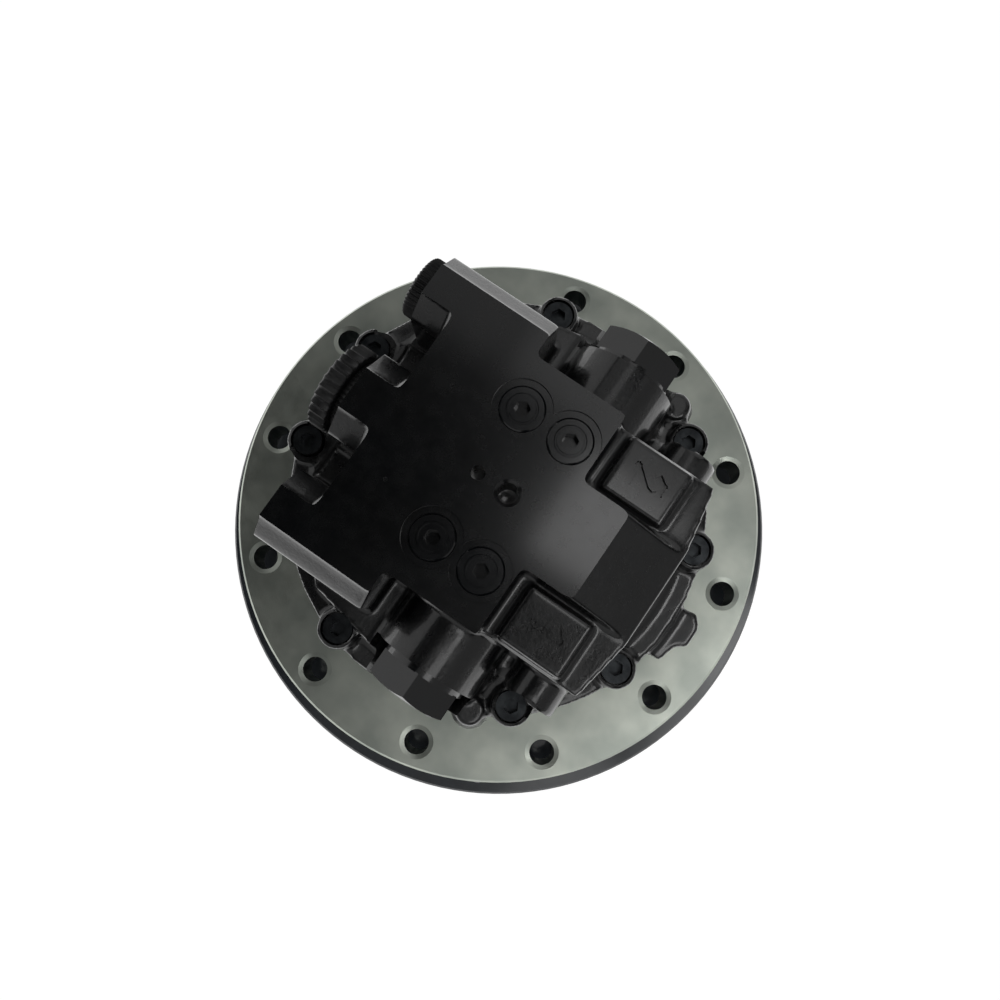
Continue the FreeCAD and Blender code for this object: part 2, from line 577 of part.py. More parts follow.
screw_wells = at_screws(lambda name, x, y: fuse(
    "screw_well_" + name,
    rod("screw_hole_" + name, "cover_screw_d / 2 + bore_clearance",
        "cover_flange_thick + 2", x, y, "case_top - 1"),
    rod("screw_access_" + name, "cover_counterbore_d / 2", "block_height", x, y,
        "boss_top - cover_counterbore")))
spool_bore = rod("spool_bore", "spool_d / 2", "cap_thread_low * 2", "spool_x",
                 "-cap_thread_low", "spool_height", "y")
cap_bores = [rod("cap_bore_" + side, "cap_thread_d / 2", "cap_thread_length + 1", "spool_x",
                 start, "spool_height", "y")
             for side, start in (("left", "cap_thread_low"), ("right", "-spool_boss_half - 1"))]
cap_pockets = [rod("cap_pocket_" + side, "cap_pocket_d / 2", "cap_end", "spool_x",
                   start, "spool_height", "y")
               for side, start in (("left", "spool_boss_half"),
                                   ("right", "-spool_boss_half - cap_end"))]
pilot_bore = rod("pilot_bore", "pilot_d / 2", "pilot_plug_low * 2", "pilot_x",
                 "-pilot_plug_low", "pilot_height", "y")
pilot_plug_bores = [rod("pilot_plug_bore_" + side, "pilot_plug_d / 2",
                        "pilot_boss_half - pilot_plug_low + 1", "pilot_x", start,
                        "pilot_height", "y")
                    for side, start in (("left", "pilot_plug_low"),
                                        ("right", "-pilot_boss_half - 1"))]
port_bores = []
for side, sign in (("left", ""), ("right", "-")):
    port_bores += [
        rod("port_tap_" + side, "port_tap_d / 2", "port_tap_length + 1", "-wing_back - 1",
            sign + "port_offset", "port_z", "x"),
        rod("port_passage_" + side, "passage_d / 2", "wing_back + spool_x", "-wing_back + 1",
            sign + "port_offset", "port_z", "x"),
        rod("spool_inlet_" + side, "passage_d / 2", "port_z - spool_height", "spool_x",
            sign + "port_offset", "spool_height"),
        rod("motor_passage_" + side, "passage_d / 2 - 1", "block_height", "plug_front",
            sign + "plug_row", "case_top - 1"),
        rod("relief_passage_" + side, "passage_d / 2 - 1", "plug_height * 2", "-plug_back",
            sign + "plug_row", "block_top - plug_height * 3"),
    ]
drain_bores = [
    rod("drain_tap", "centre_port_tap_d / 2", "port_tap_length + 1", "-wing_back - 1", "0",
        "centre_port_z", "x"),
    rod("drain_passage", "drain_d / 2", "centre_port_z - case_top + 1", "-drain_x", "0",
        "case_top - 1"),
]
plug_spots = [(name, x, sign + "plug_row") for name, x, sign in (
    ("back_left", "-plug_back", ""), ("back_right", "-plug_back", "-"),
    ("front_left", "plug_front", ""), ("front_right", "plug_front", "-"))]
plug_wells = [fuse("plug_well_" + name,
                   rod("spotface_" + name, "spotface_d / 2", "spotface_depth + 1", x, y,
                       "block_top - spotface_depth"),
                   rod("plug_hole_" + name, "plug_head_d / 2", "plug_height + 1", x, y,
                       "block_top - plug_height"))
              for name, x, y in plug_spots]
lift_hole = fuse(
    "lift_hole", rod("lift_tap", "lift_tap_d / 2", "lift_tap_depth + 1", "lift_hole_x", "0",
                     "block_top - lift_tap_depth"),
    cone("lift_chamfer", "lift_tap_d / 2", "lift_chamfer_d / 2",
         "(lift_chamfer_d - lift_tap_d) / 2", "lift_hole_x", "0",
         "block_top - (lift_chamfer_d - lift_tap_d) / 2"))
vent_hole = rod("vent_hole", "vent_hole_d / 2", "vent_hole_depth + 1", "-vent_hole_x", "0",
                "block_top - vent_hole_depth")
dimples = [cone("dimple_" + side, "0", "dimple_d / 2", "dimple_d / 2", "-dimple_x",
                sign + "dimple_y", "block_top - dimple_d / 2")
           for side, sign in (("left", ""), ("right", "-"))]
rear_bearing_bore = rod("rear_bearing_bore", "rear_bearing_od / 2",
                        "rear_bearing_width + 5", z="case_top - 1")
rear_cover = cut("rear_cover", cover_solid, *port_bays, *screw_wells, spool_bore, *cap_bores,
                 *cap_pockets, pilot_bore, *pilot_plug_bores, *port_bores, *drain_bores, *plug_wells,
                 lift_hole, vent_hole, *dimples, rear_bearing_bore)

# ---------------------------------------------------------------- valve block fittings


def socket_screw(name, x, y, seat, length, diameter, head_d, head, socket, down=False):
    """A socket head screw standing on a seat, with its head above it (below it if down)."""
    shank = rod("shank_" + name, diameter + " / 2", length + (" + 1" if down else " + 1"), x, y,
                seat + (" - 1" if down else " - " + length))
    cap = rod("head_" + name, head_d + " / 2", head, x, y, seat + (" - " + head if down else ""))
    depth = "(%s) / 2" % head
    top = seat + (" - %s - 1" % head if down else " + (%s) / 2" % head)
    key = hexagon("socket_" + name, socket, depth + " + 1", x, y, top)
    return cut("screw_" + name, fuse("screw_blank_" + name, shank, cap), key)


rear_cover_screws = group("rear_cover_screws", *at_screws(lambda name, x, y: socket_screw(
    "cover_" + name, x, y, "boss_top - cover_counterbore", "cover_screw_length",
    "cover_screw_d", "cover_head_d", "cover_head_height", "cover_screw_hex")))


def top_plug(name, x, y):
    blank = rod("plug_blank_" + name, "plug_head_d / 2", "plug_height", x, y,
                "block_top - plug_height")
    key = hexagon("plug_key_" + name, "plug_hex", "plug_height / 2 + 1", x, y,
                  "block_top - plug_height / 2")
    return cut("plug_" + name, blank, key)


def pilot_plug(side, start, key_start):
    blank = rod("pilot_plug_blank_" + side, "pilot_plug_d / 2", "pilot_plug_length", "pilot_x",
                start, "pilot_height", "y")
    key = hexagon("pilot_plug_key_" + side, "plug_hex", "pilot_plug_length / 2 + 1",
                  "pilot_x", key_start, "pilot_height", "y")
    return cut("pilot_plug_" + side, blank, key)


block_plugs = group(
    "block_plugs", *[top_plug(*spot) for spot in plug_spots],
    pilot_plug("left", "pilot_plug_low", "pilot_plug_low + pilot_plug_length / 2"),
    pilot_plug("right", "-pilot_plug_low - pilot_plug_length",
               "-pilot_plug_low - pilot_plug_length - 1"))


def valve_cap(side, thread_start, collar_start, hex_start):
    head = hexagon("cap_head_" + side, "cap_hex", "cap_end - spool_boss_half - cap_collar",
                   "spool_x", hex_start, "spool_height", "y")
    head.Placement.Rotation = TURNS["y"] * Rotation(Vector(0, 0, 1), 30)
    collar = rod("cap_collar_" + side, "cap_collar_d / 2", "cap_collar", "spool_x",
                 collar_start, "spool_height", "y")
    thread = rod("cap_thread_" + side, "cap_thread_d / 2", "cap_thread_length", "spool_x",
                 thread_start, "spool_height", "y")
    return fuse("cap_" + side, head, collar, thread)


valve_caps = group(
    "valve_caps",
    valve_cap("left", "cap_thread_low", "spool_boss_half", "spool_boss_half + cap_collar"),
    valve_cap("right", "-spool_boss_half", "-spool_boss_half - cap_collar", "-cap_end"))

counterbalance_spool = turned("counterbalance_spool", [
    ("0", "-spool_half"), ("spool_r", "-spool_half"), ("spool_r", "-spool_groove_out"),
    ("spool_waist_r", "-spool_groove_out"), ("spool_waist_r", "-spool_groove_in"),
    ("spool_r", "-spool_groove_in"), ("spool_r", "spool_groove_in"),
    ("spool_waist_r", "spool_groove_in"), ("spool_waist_r", "spool_groove_out"),
    ("spool_r", "spool_groove_out"), ("spool_r", "spool_half"), ("0", "spool_half"),
], "y", "spool_x", "0", "spool_height")
spool_springs = group(
    "spool_springs",
    coil("spool_spring_left", "spool_spring_r", "spool_spring_wire",
         "cap_thread_low - spool_half", 4, ("spool_x", "spool_half", "spool_height"), "y"),
    coil("spool_spring_right", "spool_spring_r", "spool_spring_wire",
         "cap_thread_low - spool_half", 4, ("spool_x", "-cap_thread_low", "spool_height"), "y"))
two_speed_spool = turned("two_speed_spool", [
    ("0", "-pilot_half"), ("pilot_r", "-pilot_half"), ("pilot_r", "-pilot_groove"),
    ("pilot_waist_r", "-pilot_groove"), ("pilot_waist_r", "pilot_groove"),
    ("pilot_r", "pilot_groove"), ("pilot_r", "pilot_half"), ("0", "pilot_half"),
], "y", "pilot_x", "0", "pilot_height")
two_speed_spring = coil(
    "two_speed_spring", "pilot_spring_r", "pilot_spring_wire", "pilot_plug_low - pilot_half", 6,
    ("pilot_x", "-pilot_plug_low", "pilot_height"), "y")


def ribbed(label, radius, depth, ribs, length, at):
    """A ribbed grip of a plastic cap along +X, with flat-sided ribs."""
    points = []
    for step in range(ribs * 2):
        angle = math.pi * step / ribs
        out = value(radius) - (value(depth) if step % 2 else 0)
        points.append(Vector(0, out * math.cos(angle), out * math.sin(angle)))
    shape = Part.Face(Part.makePolygon(points + points[:1])).extrude(Vector(value(length), 0, 0))
    thing = shaped(label, shape)
    thing.Placement.Base = Vector(*[value(text) for text in at])
    return thing


port_cap = fuse(
    "port_cap", ribbed("port_cap_grip", "port_cap_r", "rib_depth", 28, "port_cap_height",
                       ("-wing_back - port_cap_height", "port_offset", "port_z")),
    rod("port_cap_stem", "port_tap_d / 2", "port_stem + 1", "-wing_back - 1", "port_offset",
        "port_z", "x"))
drain_cap = fuse(
    "drain_cap", ribbed("drain_cap_grip", "drain_cap_r", "rib_depth * 1.6", 20,
                        "drain_cap_height", ("-wing_back - drain_collar - drain_cap_height",
                                             "0", "centre_port_z")),
    ribbed("drain_cap_collar", "drain_collar_r", "rib_depth", 32, "drain_collar + 1",
           ("-wing_back - drain_collar - 1", "0", "centre_port_z")),
    rod("drain_cap_stem", "centre_port_tap_d / 2", "port_stem + 1", "-wing_back - 1", "0",
        "centre_port_z", "x"))
port_caps = group("port_caps", port_cap, drain_cap)

# ---------------------------------------------------------------- hub and end cover

hub_blank = turned("hub_blank", [
    ("lip_bore_d / 2", "-lip_depth"), ("lip_od / 2", "-lip_depth"),
    ("lip_od / 2", "-hub_flange_depth"),
    ("hub_flange_od / 2 - edge_break", "-hub_flange_depth"),
    ("hub_flange_od / 2", "-hub_flange_depth - edge_break"), ("hub_flange_od / 2", "sprocket_z"),
    ("pilot_od / 2", "sprocket_z"), ("pilot_od / 2", "sprocket_z - pilot_length"),
    ("hub_od / 2", "sprocket_z - pilot_length"), ("hub_od / 2", "hub_end"),
    ("ring_gear_od / 2", "hub_end"), ("ring_gear_od / 2", "carrier_two_low"),
    ("hub_throat_d / 2", "carrier_two_low"), ("hub_throat_d / 2", "bearing_b_low"),
    ("bearing_od / 2", "bearing_b_low"), ("bearing_od / 2", "bearing_b_top"),
    ("hub_rib_d / 2", "bearing_b_top"), ("hub_rib_d / 2", "bearing_a_low"),
    ("bearing_od / 2", "bearing_a_low"), ("bearing_od / 2", "-hub_cup_depth"),
    ("seal_cup_d / 2", "-hub_cup_depth"), ("seal_cup_d / 2", "-seal_plane_depth"),
    ("lip_bore_d / 2", "-seal_plane_depth"),
])
sprocket_holes = around("sprocket_bolts", "sprocket_pcd / 2", "0", lambda n, x, y: rod(
    "sprocket_hole_%d" % n, "sprocket_tap_d / 2", "hub_flange_thick + 2", x, y,
    "sprocket_z - 1"))
hub_screw_holes = around("end_screws", "end_screw_pcd / 2", "15", lambda n, x, y: rod(
    "hub_screw_hole_%d" % n, "end_screw_d / 2", "end_screw_length + 1", x, y,
    "hub_end - 1"))
end_seal_groove = pipe("end_seal_groove", "end_seal_r + end_seal_cord",
                       "end_seal_r - end_seal_cord", "end_seal_cord * 2", z="hub_end")
hub = cut("hub", hub_blank, *sprocket_holes, *hub_screw_holes, end_seal_groove)
end_cover_seal = ring("end_cover_seal", "end_seal_r", "end_seal_cord",
                      z="end_seal_cord + hub_end")
case_seal = ring("case_seal", "case_seal_r", "case_seal_cord",
                 z="case_seal_low + case_seal_cord")

cover_blank = turned("cover_blank", [
    ("0", "hub_end - cover_recess"), ("cover_recess_d / 2", "hub_end - cover_recess"),
    ("cover_recess_d / 2", "hub_end"), ("hub_od / 2", "hub_end"),
    ("hub_od / 2", "cover_rim_low + edge_break"), ("hub_od / 2 - edge_break", "cover_rim_low"),
    ("cover_face_d / 2 + 2", "cover_rim_low"), ("cover_face_d / 2", "cover_face"),
    ("0", "cover_face"),
])
end_holes = around("end_screws", "end_screw_pcd / 2", "15", lambda n, x, y: rod(
    "end_hole_%d" % n, "end_screw_d / 2", "cover_rim + 2", x, y, "cover_rim_low - 1"))
oil_holes = around("oil_plugs", "oil_plug_pcd / 2", "30", lambda n, x, y: rod(
    "oil_hole_%d" % n, "oil_plug_d / 2", "cover_thick", x, y,
    "cover_face - 1"))
end_cover = cut("end_cover", cover_blank, *end_holes, *oil_holes)
end_cover_screws = group("end_cover_screws", *around(
    "end_screws", "end_screw_pcd / 2", "15", lambda n, x, y: cut(
        "end_screw_%d" % n,
        fuse("end_screw_blank_%d" % n,
             rod("end_shank_%d" % n, "end_screw_d / 2", "end_screw_length", x, y,
                 "cover_rim_low - 1"),
             rod("end_head_%d" % n, "end_head_d / 2", "end_head_height", x, y,
                 "cover_rim_low - end_head_height")),
        hexagon("end_socket_%d" % n, "cover_screw_hex", "end_head_height / 2 + 1", x, y,
                "cover_rim_low - end_head_height - 1"))))
oil_plugs_node = group("oil_level_plugs", *around(
    "oil_plugs", "oil_plug_pcd / 2", "30", lambda n, x, y: cut(
        "oil_plug_%d" % n,
        rod("oil_plug_blank_%d" % n, "oil_plug_d / 2", "oil_plug_height", x, y,
            "edge_break + cover_face"),
        hexagon("oil_plug_key_%d" % n, "oil_plug_hex", "oil_plug_height / 2 + 1", x, y,
                "cover_face"))))
thrust_button = rod("thrust_button", "button_d / 2", "cover_recess + button_rise",
                    z="hub_end - cover_recess")

# ---------------------------------------------------------------- main bearings and seals


def ball_row(name, low):
    """The races, cage and balls of one bearing: its inner race, outer race, and the rest."""
    middle = "%s + bearing_width / 2" % low
    inner = cut(
        "inner_race_" + name,
        pipe("inner_blank_" + name, "bearing_bore_d / 2 + race_wall", "bearing_bore_d / 2",
             "bearing_width", z=low),
        ring("inner_groove_" + name, "ball_circle_r", "ball_d / 2 + ball_clearance", z=middle))
    outer = cut(
        "outer_race_" + name,
        pipe("outer_blank_" + name, "bearing_od / 2", "bearing_od / 2 - race_wall",
             "bearing_width", z=low),
        ring("outer_groove_" + name, "ball_circle_r", "ball_d / 2 + ball_clearance", z=middle))
    balls = around("ball_count", "ball_circle_r", "0", lambda n, x, y: ball(
        "ball_%s_%d" % (name, n), "ball_d / 2", x, y, middle))
    pockets = around("ball_count", "ball_circle_r", "0", lambda n, x, y: rod(
        "pocket_%s_%d" % (name, n), "ball_d / 2 + bore_clearance", "bearing_width", x, y,
        middle + " - ball_d / 2 - bore_clearance"))
    cage = cut("cage_" + name, pipe(
        "cage_blank_" + name, "ball_circle_r + cage_thick / 2", "ball_circle_r - cage_thick / 2",
        "bearing_width - cage_margin * 2", z=low + " + cage_margin"), *pockets)
    return inner, outer, [cage] + balls


row_a = ball_row("a", "bearing_a_low")
row_b = ball_row("b", "bearing_b_low")
race_spacer = pipe("race_spacer", "bearing_bore_d / 2 + race_wall", "bearing_bore_d / 2",
                   "bearing_spacer", z="bearing_b_top")
bearing_inner_races = group("bearing_inner_races", row_a[0], race_spacer, row_b[0])
bearing_outer_races = group("bearing_outer_races", row_a[1], row_b[1])
bearing_balls = group("bearing_balls", *row_a[2], *row_b[2])

face_seal_fixed = turned("face_seal_fixed", [
    ("seal_bore_d / 2", "seal_fixed_z"), ("seal_flange_d / 2", "seal_fixed_z"),
    ("seal_flange_d / 2", "seal_fixed_z + seal_flange"),
    ("seal_body_d / 2", "seal_fixed_z + seal_flange"),
    ("seal_body_d / 2", "seal_fixed_z + seal_ring_height"),
    ("seal_bore_d / 2", "seal_fixed_z + seal_ring_height"),
])
face_seal_rotating = turned("face_seal_rotating", [
    ("seal_bore_d / 2", "seal_moving_z"), ("seal_bore_d / 2", "seal_moving_z - seal_ring_height"),
    ("seal_body_d / 2", "seal_moving_z - seal_ring_height"),
    ("seal_body_d / 2", "seal_moving_z - seal_flange"),
    ("seal_flange_d / 2", "seal_moving_z - seal_flange"), ("seal_flange_d / 2", "seal_moving_z"),
])
fixed_cord_rings = group("fixed_cord_rings", case_seal, ring(
    "toric_fixed", "toric_r", "toric_d / 2", z="toric_fixed_z"))
toric_rotating = ring("toric_rotating", "toric_r", "toric_d / 2", z="toric_moving_z")

# ---------------------------------------------------------------- gear train

ring_gear = shaped("ring_gear", gear_blank(
    bore_wire(value("ring_gear_od")), gear_wire(SIZES["ring_teeth"], 0, internal=True),
    value("hub_end"), value("carrier_two_low - hub_end")))


def planet_gears(stage, count, centre, teeth, bore, low, width):
    """One planet stage, each planet turned so that its teeth meet the ring gear's."""
    made = []
    spaces = SIZES["ring_teeth"]
    for number in range(round(value(count))):
        angle = 2 * math.pi * number / value(count)
        part_tooth = (-angle * spaces / (2 * math.pi)) % 1
        turn = angle + (part_tooth + 0.5) * 2 * math.pi / value(teeth)
        shape = gear_blank(gear_wire(round(value(teeth)), turn), bore_wire(value(bore)),
                           value(low), value(width))
        gear = shaped("planet_%s_%d" % (stage, number + 1), shape)
        spot = "360 * %d / %s" % (number, count)
        made.append(put(gear, "%s * cos(%s)" % (centre, spot), "%s * sin(%s)" % (centre, spot)))
    return made


planets_two = planet_gears("two", "planets_two", "centre_two", "planet_two_teeth",
                           "pin_two_d + sleeve_wall * 2 + running_gap * 2",
                           "gear_two_low", "gear_two_width")
planets_one = planet_gears("one", "planets_one", "centre_one", "planet_one_teeth",
                           "pin_one_d + sleeve_wall * 2 + running_gap * 2",
                           "gear_one_low", "gear_one_width")

carrier_two = cut(
    "carrier_two", rod("carrier_two_plate", "carrier_two_od / 2", "carrier_two_thick",
                       z="carrier_two_low"),
    rod("carrier_two_bore", "carrier_two_bore_d / 2", "carrier_two_thick + 2",
        z="carrier_two_low - 1"),
    *around("planets_two", "centre_two", "0", lambda n, x, y: rod(
        "carrier_pin_hole_%d" % n, "pin_two_d / 2", "carrier_two_thick + 2", x, y,
        "carrier_two_low - 1")),
    *around("planets_two", "centre_two", "45", lambda n, x, y: fuse(
        "carrier_screw_well_%d" % n,
        rod("carrier_screw_hole_%d" % n, "carrier_two_bolt_d / 2", "carrier_two_thick + 2",
            x, y, "carrier_two_low - 1"),
        rod("carrier_head_well_%d" % n, "carrier_two_head_d / 2 + 0.5",
            "carrier_two_head + 1.5", x, y, "carrier_two_low - 1"))))
carrier_two_bolts = group("carrier_two_bolts", *around(
    "planets_two", "centre_two", "45", lambda n, x, y: cut(
        "carrier_bolt_%d" % n,
        fuse("carrier_bolt_blank_%d" % n,
             rod("carrier_bolt_head_%d" % n, "carrier_two_head_d / 2", "carrier_two_head",
                 x, y, "carrier_two_low + 0.5"),
             rod("carrier_bolt_shank_%d" % n, "carrier_two_bolt_d / 2",
                 "carrier_two_bolt_length", x, y, "carrier_two_low + carrier_two_head")),
        hexagon("carrier_bolt_socket_%d" % n, "carrier_two_hex", "carrier_two_head / 2 + 1",
                x, y, "carrier_two_low - 0.5"))))
planet_two_pins = group("planet_two_pins", *around(
    "planets_two", "centre_two", "0", lambda n, x, y: rod(
        "pin_two_%d" % n, "pin_two_d / 2", "pin_two_length", x, y,
        "pin_two_seat + bearing_b_low - pin_two_length")))
planet_two_sleeves = group("planet_two_sleeves", *around(
    "planets_two", "centre_two", "0", lambda n, x, y: pipe(
        "sleeve_two_%d" % n, "pin_two_d / 2 + sleeve_wall", "pin_two_d / 2", "gear_two_width",
        x, y, "gear_two_low")))
retainer_rings = group("planet_two_clips", *around(
    "planets_two", "centre_two", "0", lambda n, x, y: pipe(
        "clip_two_%d" % n, "pin_two_d / 2 + clip_wall", "pin_two_d / 2", "clip_thick",
        x, y, "gear_two_low - clip_thick - 0.3")))

carrier_one = cut(
    "carrier_one", rod("carrier_one_plate", "carrier_one_od / 2", "carrier_one_thick",
                       z="carrier_one_low"),
    rod("carrier_one_bore", "sun_two_stub_d / 2", "carrier_one_thick + 2",
        z="carrier_one_low - 1"),
    *around("planets_one", "centre_one", "0", lambda n, x, y: rod(
        "carrier_one_pin_hole_%d" % n, "pin_one_d / 2", "carrier_one_thick + 2", x, y,
        "carrier_one_low - 1")))
planet_one_pins = group("planet_one_pins", *around(
    "planets_one", "centre_one", "0", lambda n, x, y: rod(
        "pin_one_%d" % n, "pin_one_d / 2", "pin_one_length", x, y,
        "carrier_one_top - pin_one_length")))
planet_one_sleeves = group("planet_one_sleeves", *around(
    "planets_one", "centre_one", "0", lambda n, x, y: pipe(
        "sleeve_one_%d" % n, "pin_one_d / 2 + sleeve_wall", "pin_one_d / 2", "gear_one_width",
        x, y, "gear_one_low")))
clips_one = group("planet_one_clips", *around(
    "planets_one", "centre_one", "0", lambda n, x, y: pipe(
        "clip_one_%d" % n, "pin_one_d / 2 + clip_wall", "pin_one_d / 2", "clip_thick", x, y,
        "gear_one_low - clip_thick - 0.3")))

sun_two_teeth = shaped("sun_two_teeth", gear_blank(
    gear_wire(SIZES["sun_two_teeth"], 0), bore_wire(value("sun_two_bore_d")),
    value("gear_two_low"), value("gear_two_width")))
sun_two_stub = pipe("sun_two_stub", "sun_two_stub_d / 2", "sun_two_bore_d / 2",
                    "gear_two_low - carrier_one_low", z="carrier_one_low")
sun_gear_two = fuse("sun_gear_two", sun_two_teeth, sun_two_stub)

sun_one_gear = shaped("sun_one_gear", gear_blank(
    gear_wire(SIZES["sun_one_teeth"], 0), None, value("gear_one_low"),
    value("gear_one_width")))
sun_stem = rod("sun_stem", "stem_d / 2", "shaft_end - gear_one_top + socket_depth",
               z="gear_one_top")
sun_gear_one = fuse("sun_gear_one", sun_one_gear, sun_stem)

# ---------------------------------------------------------------- rotating group

motor_shaft = cut(
    "motor_shaft",
    fuse("shaft_blank",
         rod("shaft_body", "shaft_d / 2", "case_top - shaft_end", z="shaft_end"),
         rod("shaft_tail", "shaft_rear_d / 2", "shaft_rear_end - case_top + 1",
             z="case_top - 1"),
         rod("shaft_spline", "spline_d / 2", "spline_low + spline_high", z="-spline_low"),
         rod("inner_ring", "front_race_r", "front_bearing_width", z="front_bearing_low")),
    rod("shaft_socket", "stem_d / 2", "socket_depth + 1", z="shaft_end - 1"))
cylinder_bores = around("piston_count", "piston_circle", "0", lambda n, x, y: fuse(
    "cylinder_%d" % n,
    rod("cylinder_bore_%d" % n, "piston_d / 2", "block_low_depth + cylinder_bore_top + 1",
        x, y, "-block_low_depth - 1"),
    rod("cylinder_port_%d" % n, "kidney_d / 2", "case_top", x, y, "cylinder_bore_top - 1")))
cylinder_block = cut(
    "cylinder_block",
    rod("block_blank", "block_d / 2", "valve_plate_low + block_low_depth",
        z="-block_low_depth"),
    rod("block_spline_bore", "spline_d / 2", "case_top + block_low_depth",
        z="-block_low_depth - 1"),
    rod("spring_well", "spring_well_r", "block_low_depth + spring_well_top + 1",
        z="-block_low_depth - 1"),
    *cylinder_bores)
block_spring = coil("block_spring", "block_spring_r", "block_spring_wire",
                    "guide_top_depth + spring_well_top", 3, ("0", "0", "-guide_top_depth"))
guide_ball = cut(
    "guide_ball",
    common("guide_blank", ball("guide_sphere", "guide_d / 2", z="-tilt_centre_depth"),
           rod("guide_band", "guide_d / 2 + 1", "guide_low_depth - guide_top_depth",
               z="-guide_low_depth")),
    rod("guide_bore", "shaft_d / 2", "guide_low_depth", z="-guide_low_depth - 1"))


def tilt(thing):
    """Tip a piece drawn square about the origin to the swash angle, about the tilt axis."""
    thing.Placement = Placement(Vector(), Rotation(Vector(0, -1, 0), SIZES["tilt_angle"]))
    bind(thing, **{"Placement.Rotation.Angle": "tilt_angle"})
    return put(thing, z="-tilt_centre_depth")


def on_swash(make):
    """A piece at each shoe, on the path that upright pistons trace on the tilted plate."""
    return around("piston_count", "piston_circle", "0", lambda n, x, y: make(
        n, "(%s) / cos(tilt_angle)" % x, y))


def shoe(n, x, y):
    low = "seal_gap / 2 - shoe_height"
    return cut(
        "shoe_%d" % n,
        fuse("shoe_blank_%d" % n,
             rod("shoe_flange_%d" % n, "shoe_d / 2", "shoe_flange", x, y, low),
             rod("shoe_neck_%d" % n, "shoe_neck_d / 2", "shoe_height + shoe_crimp - seal_gap / 2",
                 x, y, low)),
        ball("shoe_socket_%d" % n, "piston_ball_r + bore_clearance", x, y))


def piston(n, x, y):
    centre = "(%s) * tan(tilt_angle) - tilt_centre_depth" % x
    return fuse(
        "piston_%d" % n, ball("piston_ball_%d" % n, "piston_ball_r", x, y, centre),
        rod("piston_neck_%d" % n, "piston_neck_r", "piston_skirt + 1", x, y, centre),
        rod("piston_skirt_%d" % n, "piston_d / 2 - bore_clearance",
            "piston_length - piston_skirt", x, y, centre + " + piston_skirt"))


pistons = group("pistons", *around("piston_count", "piston_circle", "0", piston))
piston_shoes = tilt(group("piston_shoes", *on_swash(shoe)))
retainer_low = "shoe_flange + seal_gap - shoe_height"
retainer_plate = tilt(cut(
    "retainer_plate",
    rod("retainer_blank", "retainer_d / 2", "retainer_thick", z=retainer_low),
    ball("retainer_seat", "guide_d / 2 + bore_clearance"),
    *on_swash(lambda n, x, y: rod("retainer_hole_%d" % n, "shoe_neck_d / 2 + 1.2",
                                  "retainer_thick + 2", x, y, retainer_low + " - 1"))))
swash_hole = rod("swash_hole", "swash_hole_d / 2", "cradle_d + 2", z="-cradle_d - 1")
swash_plate = tilt(cut(
    "swash_plate",
    fuse("swash_blank",
         rod("swash_disc", "swash_d / 2", "swash_thick", z="-shoe_height - swash_thick"),
         common("swash_journal",
                rod("journal_rod", "cradle_d / 2", "cradle_half * 2", y="-cradle_half",
                    axis="y"),
                slab("journal_half", ("-cradle_d", "-cradle_half", "-cradle_d"),
                     ("cradle_d", "cradle_half", "-shoe_height")))),
    swash_hole))
swash_cradle = group("swash_cradle", *[
    cut("cradle_" + side,
        slab("cradle_block_" + side, ("-cradle_back", low, "-swash_bore_depth"),
             ("cradle_front", high, "-cradle_top_depth")),
        rod("cradle_seat_" + side, "cradle_d / 2 + cradle_gap", "cradle_half * 4",
            y="-cradle_half * 2", z="-tilt_centre_depth", axis="y"))
    for side, low, high in (("left", "cradle_inner", "cradle_half"),
                            ("right", "-cradle_half", "-cradle_inner"))])
tilt_piston = rod("tilt_piston", "tilt_piston_d / 2", "tilt_piston_height",
                  "-tilt_piston_x", "0", "-tilt_piston_low")

kidneys = []
for side, start in (("left", 30), ("right", 210)):
    sector = rod("kidney_" + side, "piston_circle + kidney_d / 2", "valve_plate_thick + 2",
                 z="valve_plate_low - 1")
    sector.Angle = 120
    sector.Placement.Rotation = Rotation(Vector(0, 0, 1), start)
    kidneys.append(cut("kidney_slot_" + side, sector, rod(
        "kidney_core_" + side, "piston_circle - kidney_d / 2", "valve_plate_thick + 4",
        z="valve_plate_low - 2")))
valve_plate = cut(
    "valve_plate",
    pipe("valve_plate_blank", "valve_plate_d / 2", "valve_plate_bore_d / 2",
         "valve_plate_thick", z="valve_plate_low"), *kidneys)

# ---------------------------------------------------------------- brake and shaft bearings

brake_plates = group("brake_plates", *[
    pipe("brake_plate_%d" % n, "brake_bore_d / 2", "brake_disc_bore_d / 2 + 2",
         "brake_plate_thick",
         z="%d * (brake_plate_thick + brake_disc_thick + brake_gap * 2)" % n)
    for n in range(3)])
friction_discs = group("friction_discs", *[
    pipe("friction_disc_%d" % n, "brake_disc_od / 2", "brake_disc_bore_d / 2",
         "brake_disc_thick",
         z="%d * (brake_plate_thick + brake_disc_thick + brake_gap * 2) + brake_plate_thick"
           " + brake_gap" % n)
    for n in range(2)])
brake_piston = pipe("brake_piston", "brake_bore_d / 2 - bore_clearance",
                    "brake_piston_bore / 2", "brake_piston_height", z="brake_piston_low")
brake_spring = turned("brake_spring", [
    ("brake_spring_r", "brake_piston_top"), ("brake_spring_r", "brake_piston_top + 2"),
    ("brake_piston_bore / 2 + 3", "case_top"), ("brake_piston_bore / 2 + 3", "case_top - 2"),
])
front_bearing_ring = pipe("front_bearing_ring", "front_bearing_od / 2",
                          "front_bearing_od / 2 - front_wall", "front_bearing_width",
                          z="front_bearing_low")
rollers = around("roller_count", "roller_circle", "0", lambda n, x, y: rod(
    "roller_%d" % n, "roller_d / 2", "front_bearing_width - 2", x, y,
    "front_bearing_low + 1"))
